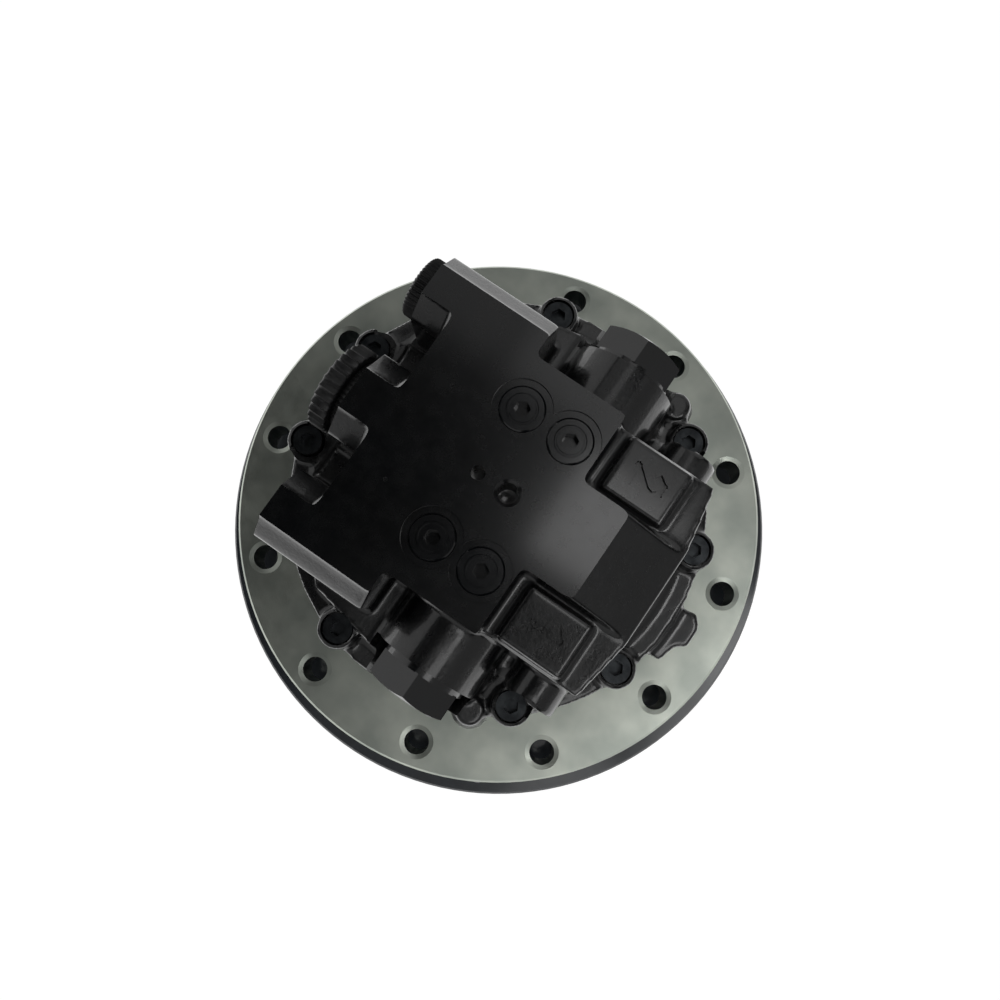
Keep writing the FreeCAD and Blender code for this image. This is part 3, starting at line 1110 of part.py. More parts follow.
front_bearing_rollers = fuse(
    "front_bearing_rollers",
    pipe("roller_cage", "roller_circle + 1", "roller_circle - 1", "front_bearing_width - 4",
         z="front_bearing_low + 2"), *rollers)
rear_bearing = pipe("rear_bearing", "rear_bearing_od / 2", "shaft_rear_d / 2 + bore_clearance",
                    "rear_bearing_width", z="case_top + 2")
shaft_bearings = group("shaft_bearings", front_bearing_ring, rear_bearing)
shaft_oil_seal = pipe("shaft_oil_seal", "oil_seal_od / 2", "shaft_d / 2 + bore_clearance",
                      "oil_seal_width", z="oil_seal_low")

# ---------------------------------------------------------------- checks and export

NODES = [
    spindle, rear_cover, rear_cover_screws, valve_caps, block_plugs, port_caps,
    counterbalance_spool, spool_springs, two_speed_spool, two_speed_spring, hub, end_cover,
    end_cover_screws, end_cover_seal, oil_plugs_node, thrust_button, bearing_inner_races,
    bearing_outer_races, bearing_balls, face_seal_fixed, face_seal_rotating, fixed_cord_rings,
    toric_rotating, ring_gear, *planets_two, *planets_one, carrier_two, carrier_two_bolts,
    planet_two_pins, planet_two_sleeves, retainer_rings, carrier_one, planet_one_pins,
    planet_one_sleeves, clips_one, sun_gear_two, sun_gear_one, motor_shaft, cylinder_block,
    block_spring, guide_ball, pistons, piston_shoes, retainer_plate, swash_plate,
    swash_cradle, tilt_piston, valve_plate, brake_plates, friction_discs, brake_piston,
    brake_spring, shaft_bearings, front_bearing_rollers, shaft_oil_seal,
]

doc.recompute()
for thing in doc.Objects:
    if "Invalid" in thing.State or "Error" in thing.State:
        raise RuntimeError(thing.Label + " did not build")
os.makedirs("parts", exist_ok=True)
for thing in NODES:
    if thing.Shape.isNull() or not thing.Shape.isValid():
        raise RuntimeError(thing.Label + " has a bad shape")
    thing.Shape.exportStep(os.path.join("parts", thing.Label + ".step"))
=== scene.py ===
"""Looks of a track drive: a black cast valve block on a turned steel ring, over a painted hub."""
import json
import math

import bmesh
import bpy
from bpy.props import FloatProperty, FloatVectorProperty, IntProperty, PointerProperty
from mathutils import Matrix, Vector


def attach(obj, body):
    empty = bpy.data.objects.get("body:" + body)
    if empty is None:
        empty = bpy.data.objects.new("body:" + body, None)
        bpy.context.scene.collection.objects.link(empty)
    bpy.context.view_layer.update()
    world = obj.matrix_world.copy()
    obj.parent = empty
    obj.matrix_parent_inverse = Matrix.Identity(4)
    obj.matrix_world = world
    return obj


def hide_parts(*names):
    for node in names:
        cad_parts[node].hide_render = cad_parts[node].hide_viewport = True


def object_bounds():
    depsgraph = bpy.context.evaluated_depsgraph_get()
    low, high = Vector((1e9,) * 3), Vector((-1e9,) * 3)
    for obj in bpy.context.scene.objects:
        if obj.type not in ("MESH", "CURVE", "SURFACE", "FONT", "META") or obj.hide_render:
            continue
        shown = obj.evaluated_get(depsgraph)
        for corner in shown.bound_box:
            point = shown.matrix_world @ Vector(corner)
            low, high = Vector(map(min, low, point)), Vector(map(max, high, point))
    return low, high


bl_info = {
    "name": "Track drive looks",
    "version": (1, 0, 0),
    "blender": (4, 5, 0),
    "location": "3D View > Sidebar > Track drive",
    "description": "Dresses the packed track drive with its castings, fittings and finishes",
    "category": "Object",
}

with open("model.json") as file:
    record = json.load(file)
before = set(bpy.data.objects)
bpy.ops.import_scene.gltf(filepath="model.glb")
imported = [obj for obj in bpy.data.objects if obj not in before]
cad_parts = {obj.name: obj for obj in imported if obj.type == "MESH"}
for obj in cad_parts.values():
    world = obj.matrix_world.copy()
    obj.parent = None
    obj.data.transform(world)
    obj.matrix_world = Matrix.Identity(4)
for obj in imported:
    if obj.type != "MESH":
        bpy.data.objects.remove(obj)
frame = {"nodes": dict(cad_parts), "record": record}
CAD_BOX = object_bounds()
MM = 0.001
ROOT = "spindle_body"

# Places of the valve block's forms, in millimetres, as in the drive's own drawing.
CASE_TOP = 34
CASE_REACH = 100
FLANGE_TOP = 48
BOSS_TOP = 54
BLOCK_TOP = 99
SCREW_ANGLES = (20.4, 51.6, 106.5, 163.3)
SCREW_CIRCLE = 89
SPOOL_X = 16
SPOOL_Z = 58
PILOT_X = 59.5
PORT_Y = 54.3
PORT_Z = 80
DRAIN_Z = 76
WING_END = -69.5
PLUGS = ((-9, 31), (14, 31), (-9, -31), (14, -31))


# ---------------------------------------------------------------- colours and materials


def srgb(code):
    """Linear colour of an sRGB hex value."""
    parts = [int(code[i:i + 2], 16) / 255 for i in (1, 3, 5)]
    linear = [c / 12.92 if c <= 0.04045 else ((c + 0.055) / 1.055) ** 2.4 for c in parts]
    return (*linear, 1.0)


def add(tree, kind, settings=None, **inputs):
    """Add a node with its settings. An input that is a socket is linked, any other is set."""
    made = tree.nodes.new(kind)
    for name, value in (settings or {}).items():
        setattr(made, name, value)
    for name, value in inputs.items():
        key = int(name[1:]) if name[0] == "i" and name[1:].isdigit() else name.replace("_", " ")
        if isinstance(value, bpy.types.NodeSocket):
            tree.links.new(value, made.inputs[key])
        else:
            made.inputs[key].default_value = value
    return made


def new_material(name):
    """An empty material: its tree, its shader and its coordinates in the drive's own frame."""
    made = bpy.data.materials.new(name)
    made.use_nodes = True
    tree = made.node_tree
    shader = tree.nodes["Principled BSDF"]
    where = tree.nodes.new("ShaderNodeTexCoord").outputs["Object"]
    return made, tree, shader, where


def link(tree, source, shader, name):
    """Join a socket to an input of the shader."""
    tree.links.new(source, shader.inputs[name])


def blotches(tree, where, low, high, size_mm):
    """A soft mix of two colours in patches of about a size."""
    noise = add(tree, "ShaderNodeTexNoise", Vector=where, Scale=1 / (size_mm * MM),
                Detail=3.0)
    ramp = add(tree, "ShaderNodeValToRGB", Fac=noise.outputs["Fac"])
    ramp.color_ramp.elements[0].position = 0.35
    ramp.color_ramp.elements[1].position = 0.65
    ramp.color_ramp.elements[0].color = low
    ramp.color_ramp.elements[1].color = high
    return ramp.outputs["Color"]


def spread(tree, source, low, high):
    """A 0 to 1 pattern spread over a range."""
    return add(tree, "ShaderNodeMapRange", Value=source, To_Min=low, To_Max=high
               ).outputs["Result"]


def painted_iron(name, dark, light, grain_mm, bump_mm, rough):
    """Paint sprayed over sand-cast iron: the sand's grain stays under a satin skin."""
    made, tree, shader, where = new_material(name)
    link(tree, blotches(tree, where, dark, light, 14), shader, "Base Color")
    grain = add(tree, "ShaderNodeTexNoise", Vector=where, Scale=1 / (grain_mm * MM),
                Detail=4.0, Roughness=0.6)
    lumps = add(tree, "ShaderNodeTexNoise", Vector=where, Scale=1 / (grain_mm * 5 * MM),
                Detail=2.0)
    link(tree, spread(tree, lumps.outputs["Fac"], rough - 0.07, rough + 0.1), shader,
         "Roughness")
    lump_bump = add(tree, "ShaderNodeBump", Height=lumps.outputs["Fac"], Strength=0.6,
                    Distance=bump_mm * 2 * MM)
    bump = add(tree, "ShaderNodeBump", Height=grain.outputs["Fac"], Strength=0.8,
               Distance=bump_mm * MM, Normal=lump_bump.outputs["Normal"])
    link(tree, bump.outputs["Normal"], shader, "Normal")
    shader.inputs["IOR"].default_value = 1.5
    shader.inputs["Coat Weight"].default_value = 0.9
    shader.inputs["Coat Roughness"].default_value = 0.12
    return made


def painted_milling(name, dark, light, pitch_mm, rough):
    """The same paint over a milled face: level, with the cutter's lines and rubbed marks."""
    made, tree, shader, where = new_material(name)
    link(tree, blotches(tree, where, dark, light, 30), shader, "Base Color")
    cutter = add(tree, "ShaderNodeTexWave", {"wave_type": "BANDS", "bands_direction": "X"},
                 Vector=where, Scale=0.314 / (pitch_mm * MM), Distortion=0.6, Detail=2.0)
    peel = add(tree, "ShaderNodeTexNoise", Vector=where, Scale=1 / (2.2 * MM), Detail=2.0)
    rubs = add(tree, "ShaderNodeTexNoise", Vector=where, Scale=1 / (9 * MM), Detail=5.0,
               Roughness=0.65)
    link(tree, spread(tree, rubs.outputs["Fac"], rough - 0.08, rough + 0.12), shader,
         "Roughness")
    lines = add(tree, "ShaderNodeBump", Height=cutter.outputs["Fac"], Strength=0.12,
                Distance=0.01 * MM)
    bump = add(tree, "ShaderNodeBump", Height=peel.outputs["Fac"], Strength=0.25,
               Distance=0.03 * MM, Normal=lines.outputs["Normal"])
    link(tree, bump.outputs["Normal"], shader, "Normal")
    shader.inputs["Coat Weight"].default_value = 1.0
    shader.inputs["Coat Roughness"].default_value = 0.12
    return made


def turned_metal(name, low, high, feed_mm, rough):
    """Metal faced on a lathe: fine rings about the axis that pull highlights into fans."""
    made, tree, shader, where = new_material(name)
    shader.inputs["Metallic"].default_value = 1.0
    link(tree, blotches(tree, where, low, high, 26), shader, "Base Color")
    feed = add(tree, "ShaderNodeTexWave", {"wave_type": "RINGS", "rings_direction": "Z"},
               Vector=where, Scale=0.314 / (feed_mm * MM), Distortion=0.3, Detail=1.0)
    haze = add(tree, "ShaderNodeTexNoise", Vector=where, Scale=1 / (12 * MM), Detail=6.0,
               Roughness=0.7)
    link(tree, spread(tree, haze.outputs["Fac"], rough - 0.08, rough + 0.12), shader,
         "Roughness")
    bump = add(tree, "ShaderNodeBump", Height=feed.outputs["Fac"], Strength=0.25,
               Distance=0.02 * MM)
    link(tree, bump.outputs["Normal"], shader, "Normal")
    shader.inputs["Anisotropic"].default_value = 0.55
    tangent = add(tree, "ShaderNodeTangent", {"direction_type": "RADIAL", "axis": "Z"})
    link(tree, tangent.outputs["Tangent"], shader, "Tangent")
    return made


def plain_metal(name, low, high, grain_mm, rough, bump_mm=0.01):
    """Ground, plated or sprung metal: an even sheen with small cloudy changes."""
    made, tree, shader, where = new_material(name)
    shader.inputs["Metallic"].default_value = 1.0
    link(tree, blotches(tree, where, low, high, grain_mm * 6), shader, "Base Color")
    grain = add(tree, "ShaderNodeTexNoise", Vector=where, Scale=1 / (grain_mm * MM),
                Detail=3.0)
    link(tree, spread(tree, grain.outputs["Fac"], rough - 0.06, rough + 0.08), shader,
         "Roughness")
    bump = add(tree, "ShaderNodeBump", Height=grain.outputs["Fac"], Strength=0.3,
               Distance=bump_mm * MM)
    link(tree, bump.outputs["Normal"], shader, "Normal")
    return made


def moulded(name, low, high, grain_mm, rough, bump_mm=0.02):
    """Moulded rubber, plastic or lining: an even body with a fine eroded grain."""
    made, tree, shader, where = new_material(name)
    link(tree, blotches(tree, where, low, high, grain_mm * 10), shader, "Base Color")
    grain = add(tree, "ShaderNodeTexNoise", Vector=where, Scale=1 / (grain_mm * MM),
                Detail=4.0)
    link(tree, spread(tree, grain.outputs["Fac"], rough - 0.05, rough + 0.08), shader,
         "Roughness")
    bump = add(tree, "ShaderNodeBump", Height=grain.outputs["Fac"], Strength=0.4,
               Distance=bump_mm * MM)
    link(tree, bump.outputs["Normal"], shader, "Normal")
    return made


def make_materials():
    return {
        "black_paint": painted_iron("black enamel on sand-cast iron", srgb("#060708"),
                                    srgb("#0b0c0e"), 1.3, 0.2, 0.28),
        "milled_paint": painted_milling("black enamel on milled iron", srgb("#050607"),
                                        srgb("#090b0d"), 1.6, 0.24),
        "slate_paint": painted_iron("slate enamel on cast steel", srgb("#20262d"),
                                    srgb("#2b323a"), 1.6, 0.12, 0.42),
        "machined_face": turned_metal("lathe-faced steel", srgb("#a4aaa2"), srgb("#c0c5bb"),
                                      0.9, 0.3),
        "black_screw": plain_metal("black oxide alloy steel", srgb("#2e3032"),
                                   srgb("#434648"), 0.8, 0.3),
        "zinc": painted_milling("black enamel on hexagon steel bar", srgb("#060708"),
                                srgb("#0b0d10"), 1.0, 0.22),
        "cap_plastic": moulded("black moulded polyethylene", srgb("#0b0b0c"),
                               srgb("#141516"), 0.5, 0.38),
        "gear_steel": plain_metal("case-hardened gear steel", srgb("#8f9194"),
                                  srgb("#a5a7aa"), 0.8, 0.3),
        "bearing_steel": plain_metal("ground bearing steel", srgb("#b9bbbd"),
                                     srgb("#cfd0d1"), 0.4, 0.16),
        "bronze": plain_metal("sintered bronze", srgb("#9a6b35"), srgb("#b98748"), 0.5, 0.35),
        "seal_rubber": moulded("black nitrile rubber", srgb("#101010"), srgb("#1a1a1a"), 0.4,
                               0.55),
        "spring_steel": plain_metal("oil-tempered spring steel", srgb("#3a3d42"),
                                    srgb("#52555b"), 0.5, 0.3),
        "friction": moulded("sintered brake lining", srgb("#4a3b2e"), srgb("#63503f"), 0.3,
                            0.8, 0.06),
    }


MATERIALS = {}


def finish(name):
    """A material by its slot name, all made on the first call."""
    if not MATERIALS:
        MATERIALS.update(make_materials())
    return MATERIALS[name]


# ---------------------------------------------------------------- mesh helpers


def to_object(bm, name):
    """Turn a finished bmesh into an object of the scene."""
    mesh = bpy.data.meshes.new(name)
    bmesh.ops.recalc_face_normals(bm, faces=bm.faces)
    bm.to_mesh(mesh)
    bm.free()
    made = bpy.data.objects.new(name, mesh)
    bpy.context.scene.collection.objects.link(made)
    return made


def turn_to(axis):
    """Rotation that lays a body built along Z along an axis."""
    return {"z": Matrix(), "x": Matrix.Rotation(math.pi / 2, 4, "Y"),
            "y": Matrix.Rotation(-math.pi / 2, 4, "X")}[axis]


def rod(bm, radius, low, high, at=(0, 0), axis="z", top_radius=None, sides=48):
    """A closed rod or taper along an axis, from low to high, in millimetres."""
    top_radius = radius if top_radius is None else top_radius
    middle = {"z": (at[0], at[1], (low + high) / 2), "x": ((low + high) / 2, at[0], at[1]),
              "y": (at[0], (low + high) / 2, at[1])}[axis]
    matrix = Matrix.Translation(Vector(middle) * MM) @ turn_to(axis)
    bmesh.ops.create_cone(bm, cap_ends=True, segments=sides, radius1=radius * MM,
                          radius2=top_radius * MM, depth=(high - low) * MM, matrix=matrix)


def slab(bm, low, high):
    """A box between two corners, in millimetres."""
    size = [h - l for l, h in zip(low, high)]
    middle = [(l + h) / 2 for l, h in zip(low, high)]
    matrix = Matrix.Translation(Vector(middle) * MM) @ Matrix.Diagonal((*size, 1))
    bmesh.ops.create_cube(bm, size=MM, matrix=matrix)


def prism(bm, points, low, high, axis="z"):
    """A closed outline pushed along an axis. Points are the two other coordinates in order."""
    def place(a, b, c):
        return Vector({"z": (a, b, c), "x": (c, a, b), "y": (a, c, b)}[axis]) * MM
    rows = [[bm.verts.new(place(a, b, c)) for a, b in points] for c in (low, high)]
    count = len(points)
    bm.faces.new(rows[0][::-1])
    bm.faces.new(rows[1])
    for n in range(count):
        m = (n + 1) % count
        bm.faces.new((rows[0][n], rows[0][m], rows[1][m], rows[1][n]))


def turned(bm, profile, at=(0, 0), axis="z", sides=64):
    """A closed body turned about an axis from (radius, height) pairs that start and end on it."""
    def place(radius, angle, high):
        a, b = radius * math.cos(angle), radius * math.sin(angle)
        return Vector({"z": (at[0] + a, at[1] + b, high), "x": (high, at[0] + a, at[1] + b),
                       "y": (at[0] + a, high, at[1] + b)}[axis]) * MM
    rows = []
    for radius, high in profile:
        if radius == 0:
            rows.append([bm.verts.new(place(0, 0, high))])
        else:
            rows.append([bm.verts.new(place(radius, 2 * math.pi * n / sides, high))
                         for n in range(sides)])
    for low, high in zip(rows, rows[1:]):
        for n in range(sides):
            m = (n + 1) % sides
            ring = [low[n % len(low)], low[m % len(low)], high[m % len(high)],
                    high[n % len(high)]]
            unique = list(dict.fromkeys(ring))
            if len(unique) > 2:
                bm.faces.new(unique)


def apply_modifiers(thing):
    """Keep the result of a piece's modifiers as its mesh."""
    graph = bpy.context.evaluated_depsgraph_get()
    mesh = bpy.data.meshes.new_from_object(thing.evaluated_get(graph))
    old = thing.data
    thing.modifiers.clear()
    thing.data = mesh
    bpy.data.meshes.remove(old)


def carve(thing, cutters, operation="DIFFERENCE"):
    """Cut closed tool meshes out of a piece, one after another."""
    for build in cutters:
        bm = bmesh.new()
        build(bm)
        tool = to_object(bm, "tool")
        change = thing.modifiers.new("cut", "BOOLEAN")
        change.operation = operation
        change.solver = "MANIFOLD"
        change.object = tool
        apply_modifiers(thing)
        bpy.data.objects.remove(tool)


def shade(thing, angle):
    """Smooth shading that breaks at edges sharper than an angle in degrees."""
    thing.data.shade_smooth()
    thing.data.set_sharp_from_angle(angle=math.radians(angle))


def paint(thing, *slots):
    """Leave a piece with these finishes alone, the first one on all its faces."""
    thing.data.materials.clear()
    for slot in slots:
        thing.data.materials.append(finish(slot))
    for face in thing.data.polygons:
        face.material_index = 0


def dress(thing, slot, body=ROOT, stands_for=()):
    """Give a new piece its finish and its body, and hide the frame nodes that it stands for."""
    if not any(thing.data.materials):
        paint(thing, slot)
    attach(thing, body)
    if stands_for:
        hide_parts(*stands_for)


def screw_places():
    """Centres of the eight cover screws."""
    for angle in SCREW_ANGLES:
        for sign in (1, -1):
            yield (SCREW_CIRCLE * math.cos(math.radians(angle)),
                   sign * SCREW_CIRCLE * math.sin(math.radians(angle)))


# ---------------------------------------------------------------- settings


class DriveSettings(bpy.types.PropertyGroup):
    voxel: FloatProperty(name="Casting detail", description="Grid size of the cast block's mesh",
                         default=1.0 * MM, min=0.5 * MM, max=3 * MM, unit="LENGTH")
    rounding: IntProperty(name="Casting rounding",
                          description="Smoothing passes that round the cast edges",
                          default=9, min=0, max=40)
    cap_ribs: IntProperty(name="Cap ribs", description="Grip ribs around the small port cap",
                          default=44, min=12, max=90)
    drain_ribs: IntProperty(name="Large cap ribs",
                            description="Grip ribs around the large port cap",
                            default=30, min=12, max=90)
    number_size: FloatProperty(name="Number height", description="Height of the pad numbers",
                               default=13 * MM, min=5 * MM, max=20 * MM, unit="LENGTH")


# Soft lights: a ceiling of square panels a metre up, and low panels around it.
SOFTBOXES = (
    ("ceiling_b", (0.0, -0.3, 1.0), 0.34, 0.09),
    ("ceiling_c", (0.36, -0.3, 1.0), 0.34, 0.62),
    ("key_4", (0.425, -0.025, 1.0), 0.17, 0.26),
    ("key_6", (0.085, 0.145, 1.0), 0.17, 0.18),
    ("key_8", (0.425, 0.145, 1.0), 0.17, 0.42),
    ("ceiling_g", (-0.36, 0.42, 1.0), 0.34, 0.10),
    ("ceiling_h", (0.0, 0.42, 1.0), 0.34, 0.20),
    ("side_back", (-0.9, 0.0, 0.45), 1.2, 2.50),
    ("side_front", (0.9, 0.0, 0.45), 1.2, 1.00),
    ("side_right", (0.0, -0.9, 0.45), 1.2, 1.50),
    ("side_left", (0.0, 0.9, 0.45), 1.2, 2.00),
)

# Panels above this height look straight down, and the others at the drive.
OVERHEAD = 0.9


class StageSettings(bpy.types.PropertyGroup):
    floor_colour: FloatVectorProperty(name="Floor colour", description="Colour of the floor",
                                      subtype="COLOR", default=srgb("#f4f4f4")[:3])
    light_gain: FloatProperty(name="Light gain", description="Scale of every soft light",
                              default=1.0, min=0)
    world_strength: FloatProperty(name="Sky", description="Strength of the even white sky",
                                  default=0.000, min=0)


# ---------------------------------------------------------------- the valve block


def casting(bm):
    """The block as it leaves the sand mould, with spare metal where a cutter will pass."""
    spare = 3
    rod(bm, 94, CASE_TOP - spare, FLANGE_TOP)
    rod(bm, 86, FLANGE_TOP - 1, FLANGE_TOP + 10, top_radius=73)
    for x, y in screw_places():
        rod(bm, 9.4, CASE_TOP - spare, BOSS_TOP + 0.4, at=(x, y), top_radius=9)
    slab(bm, (-30, -52, 40), (26.5, 52, BLOCK_TOP + spare))
    prism(bm, [(-70.5, 40), (70.5, 40), (70.5, 89), (62, 97.5), (62, BLOCK_TOP + spare),
               (-62, BLOCK_TOP + spare), (-62, 97.5), (-70.5, 89)], WING_END - spare, -17, "x")
    prism(bm, [(25, -50), (72.5, -50), (77.5, -22), (77.5, 22), (72.5, 50), (25, 50)], 40, 88)
    prism(bm, [(25, 87), (76.5, 87), (76.5, 88), (48.5, BLOCK_TOP + 0.3),
               (44, BLOCK_TOP + spare), (25, BLOCK_TOP + spare)], -20.5, 20.5, "y")
    for sign in (1, -1):
        slab(bm, (33.5, min(sign * 24, sign * 48.5), 86), (62.5, max(sign * 24, sign * 48.5), 93))
        ys = [sign * y for y in (66.5, 76, 84, 74, 42, 42)]
        prism(bm, list(zip((-52, -42, -1, SPOOL_X, SPOOL_X, -52), ys)), 40, 60)
        rod(bm, 9, 40, 50, at=(42, sign * 82), top_radius=6)
    rod(bm, 24, -76 - spare, 76 + spare, at=(SPOOL_X, SPOOL_Z), axis="y")
    slab(bm, (SPOOL_X - 24, -76, 40), (SPOOL_X + 24, 76, SPOOL_Z))
    rod(bm, 12, -64, 64, at=(PILOT_X, SPOOL_Z), axis="y")
    prism(bm, [(72.5, -17), (98.5, -17), (101, -8), (105.5, -5), (105.5, 4), (101.5, 9.5),
               (72.5, 4)], 38, 45)


def bay(sign):
    """Cutter for the bay beside a port boss."""
    points = [(20, FLANGE_TOP), (38, FLANGE_TOP), (38, 89), (48, BLOCK_TOP), (48, 106), (9, 106),
              (9, BLOCK_TOP), (20, 89)]
    return lambda bm: prism(bm, [(sign * y, z) for y, z in points], -75, -53.5, "x")


def machining():
    """Every tool pass over the casting, as functions that add a closed tool."""
    passes = [
        lambda bm: slab(bm, (-120, -120, BLOCK_TOP), (120, 120, BLOCK_TOP + 20)),
        lambda bm: slab(bm, (-120, -120, 0), (120, 120, CASE_TOP)),
        lambda bm: slab(bm, (WING_END - 20, -71, FLANGE_TOP + 1), (WING_END, 71, 110)),
    ]
    for sign in (1, -1):
        low, high = sorted((sign * 76, sign * 99))
        passes.append(lambda bm, a=low, b=high: rod(bm, 25.5, a, b, at=(SPOOL_X, 61.5),
                                                    axis="y", sides=72))
        low, high = sorted((sign * 52, sign * 70))
        passes.append(lambda bm, a=low, b=high: rod(bm, 9, a, b, at=(PILOT_X, SPOOL_Z),
                                                    axis="y"))
        passes.append(lambda bm, s=sign: rod(bm, 0.05, BLOCK_TOP - 0.9, BLOCK_TOP + 0.1,
                                             at=(-37.2, s * 22.7), top_radius=1.0, sides=16))
    for x, y in screw_places():
        passes.append(lambda bm, x=x, y=y: rod(bm, 7.25, 45, 130, at=(x, y), sides=40))
    for x, y in PLUGS:
        passes.append(lambda bm, x=x, y=y: rod(bm, 12.5, 98, 104, at=(x, y), sides=72))
        passes.append(lambda bm, x=x, y=y: rod(bm, 9.6, 86, 104, at=(x, y), sides=64))
    passes += [
        lambda bm: turned(bm, [(0, 78), (4.25, 79), (4.25, 97.7), (5.6, 99.05), (5.6, 104),
                               (0, 104)], at=(5.5, 0), sides=40),
        lambda bm: rod(bm, 3, 85, 104, at=(-8.7, 0), sides=28),
        lambda bm: rod(bm, 12.1, WING_END - 1, WING_END + 18, at=(PORT_Y, PORT_Z), axis="x"),
        lambda bm: rod(bm, 12.1, WING_END - 1, WING_END + 18, at=(-PORT_Y, PORT_Z), axis="x"),
        lambda bm: rod(bm, 15.2, WING_END - 1, WING_END + 18, at=(0, DRAIN_Z), axis="x"),
    ]
    return passes


def stroke(bm, start, end, width, top, deep):
    """One straight stroke of a cut number, with flat ends, on a level pad."""
    start, end = Vector(start), Vector(end)
    along = (end - start).normalized()
    side = Vector((-along.y, along.x)) * width / 2
    ends = along * width / 2
    corners = [start - ends + side, start - ends - side, end + ends - side, end + ends + side]
    prism(bm, [(p.x, p.y) for p in corners], top - deep, top + 3)


NUMBERS = {
    "1": [((0, -6), (0, 6)), ((0, 6), (-2.6, 3.8))],
    "2": [((-3.4, 3.6), (-1.8, 6)), ((-1.8, 6), (1.8, 6)), ((1.8, 6), (3.4, 3.8)),
          ((3.4, 3.8), (2.6, 1)), ((2.6, 1), (-3.4, -6)), ((-3.4, -6), (3.6, -6))],
}


def number_tools(text, centre, turn, height):
    """Cutters for a plain number on a pad."""
    spin = Matrix.Rotation(math.radians(turn), 2)
    scale = height / MM / 12
    tools = []
    for a, b in NUMBERS[text]:
        start = spin @ (Vector(a) * scale) + Vector(centre)
        end = spin @ (Vector(b) * scale) + Vector(centre)
        tools.append(lambda bm, s=start, e=end: stroke(bm, s, e, 2.6, 93, 1.8))
    return tools


class OBJECT_OT_valve_block(bpy.types.Operator):
    """Build the cast and machined valve block"""
    bl_idname = "drive.valve_block"
    bl_label = "Valve block"

    def execute(self, context):
        settings = context.scene.drive_settings
        bm = bmesh.new()
        casting(bm)
        block = to_object(bm, "valve_block_casting")
        grid = block.modifiers.new("grid", "REMESH")
        grid.mode = "VOXEL"
        grid.voxel_size = settings.voxel
        apply_modifiers(block)
        carve(block, [bay(1), bay(-1)])
        grid = block.modifiers.new("grid", "REMESH")
        grid.mode = "VOXEL"
        grid.voxel_size = settings.voxel
        smooth = block.modifiers.new("rounding", "SMOOTH")
        smooth.factor = 0.6
        smooth.iterations = settings.rounding
        apply_modifiers(block)
        carve(block, machining())
        carve(block, number_tools("1", (48, -36), -90, settings.number_size)
              + number_tools("2", (48, 36), -90, settings.number_size))
        paint(block, "black_paint", "milled_paint")
        level = BLOCK_TOP * MM - 0.02 * MM
        for face in block.data.polygons:
            if face.center.z > level or (face.normal.z > 0.99 and face.center.z > 97.9 * MM):
                face.material_index = 1
        shade(block, 32)
        for face in block.data.polygons:
            face.use_smooth = face.material_index == 0
        dress(block, "black_paint", stands_for=("rear_cover",))
        return {"FINISHED"}


# ---------------------------------------------------------------- fittings


class OBJECT_OT_block_plugs(bpy.types.Operator):
    """Build the socket plugs of the valve block"""
    bl_idname = "drive.block_plugs"
    bl_label = "Socket plugs"

    def execute(self, context):
        bm = bmesh.new()
        for x, y in PLUGS:
            turned(bm, [(0, 87.4), (9.4, 87.4), (9.4, 98.2), (8.8, 98.8), (6.6, 98.8),
                        (6.3, 98.45), (5.6, 98.45), (5.4, 98.8), (0, 98.8)], at=(x, y))
        for sign in (1, -1):
            turned(bm, [(0, sign * 52.1), (8.9, sign * 52.1), (8.9, sign * 61.4),
                        (8.0, sign * 62.4), (0, sign * 62.4)], at=(PILOT_X, SPOOL_Z), axis="y")
        plugs = to_object(bm, "socket_plugs")
        carve(plugs, [lambda bm, x=x, y=y: rod(bm, 3.46, 93.5, 100, at=(x, y), sides=6)
                      for x, y in PLUGS])
        carve(plugs, [lambda bm, s=s: rod(bm, 3.46, min(s * 57, s * 64), max(s * 57, s * 64),
                                          at=(PILOT_X, SPOOL_Z), axis="y", sides=6)
                      for s in (1, -1)])
        shade(plugs, 30)
        dress(plugs, "zinc", stands_for=("block_plugs",))
        return {"FINISHED"}


class OBJECT_OT_valve_caps(bpy.types.Operator):
    """Build the chamfered hexagon caps at both ends of the spool"""
    bl_idname = "drive.valve_caps"
    bl_label = "Spool caps"

    def execute(self, context):
        bm = bmesh.new()
        for sign in (1, -1):
            rows = []
            for distance, radius in ((62.1, 14.9), (76, 14.9), (76, 19.8), (79, 19.8)):
                rows.append((radius, sign * distance))
            turned(bm, [(0, sign * 62.1)] + rows + [(0, sign * 79)], at=(SPOOL_X, SPOOL_Z),
                   axis="y", sides=72)
        collars = to_object(bm, "spool_cap_collars")
        shade(collars, 30)
        dress(collars, "zinc", stands_for=("valve_caps",))
        for sign, side in ((1, "left"), (-1, "right")):
            bm = bmesh.new()
            points = [(SPOOL_X + 20.7 * math.sin(math.radians(60 * n)),
                       SPOOL_Z + 20.7 * math.cos(math.radians(60 * n))) for n in range(6)]
            prism(bm, points, min(sign * 78.6, sign * 91), max(sign * 78.6, sign * 91), "y")
            head = to_object(bm, "spool_cap_" + side)
            profile = [(0, sign * 78), (22, sign * 78), (22, sign * 89.2), (18, sign * 91),
                       (17.2, sign * 90.6), (0, sign * 90.6)]
            carve(head, [lambda bm: turned(bm, profile, at=(SPOOL_X, SPOOL_Z), axis="y",
                                           sides=96)], "INTERSECT")
            shade(head, 20)
            dress(head, "zinc")
        return {"FINISHED"}


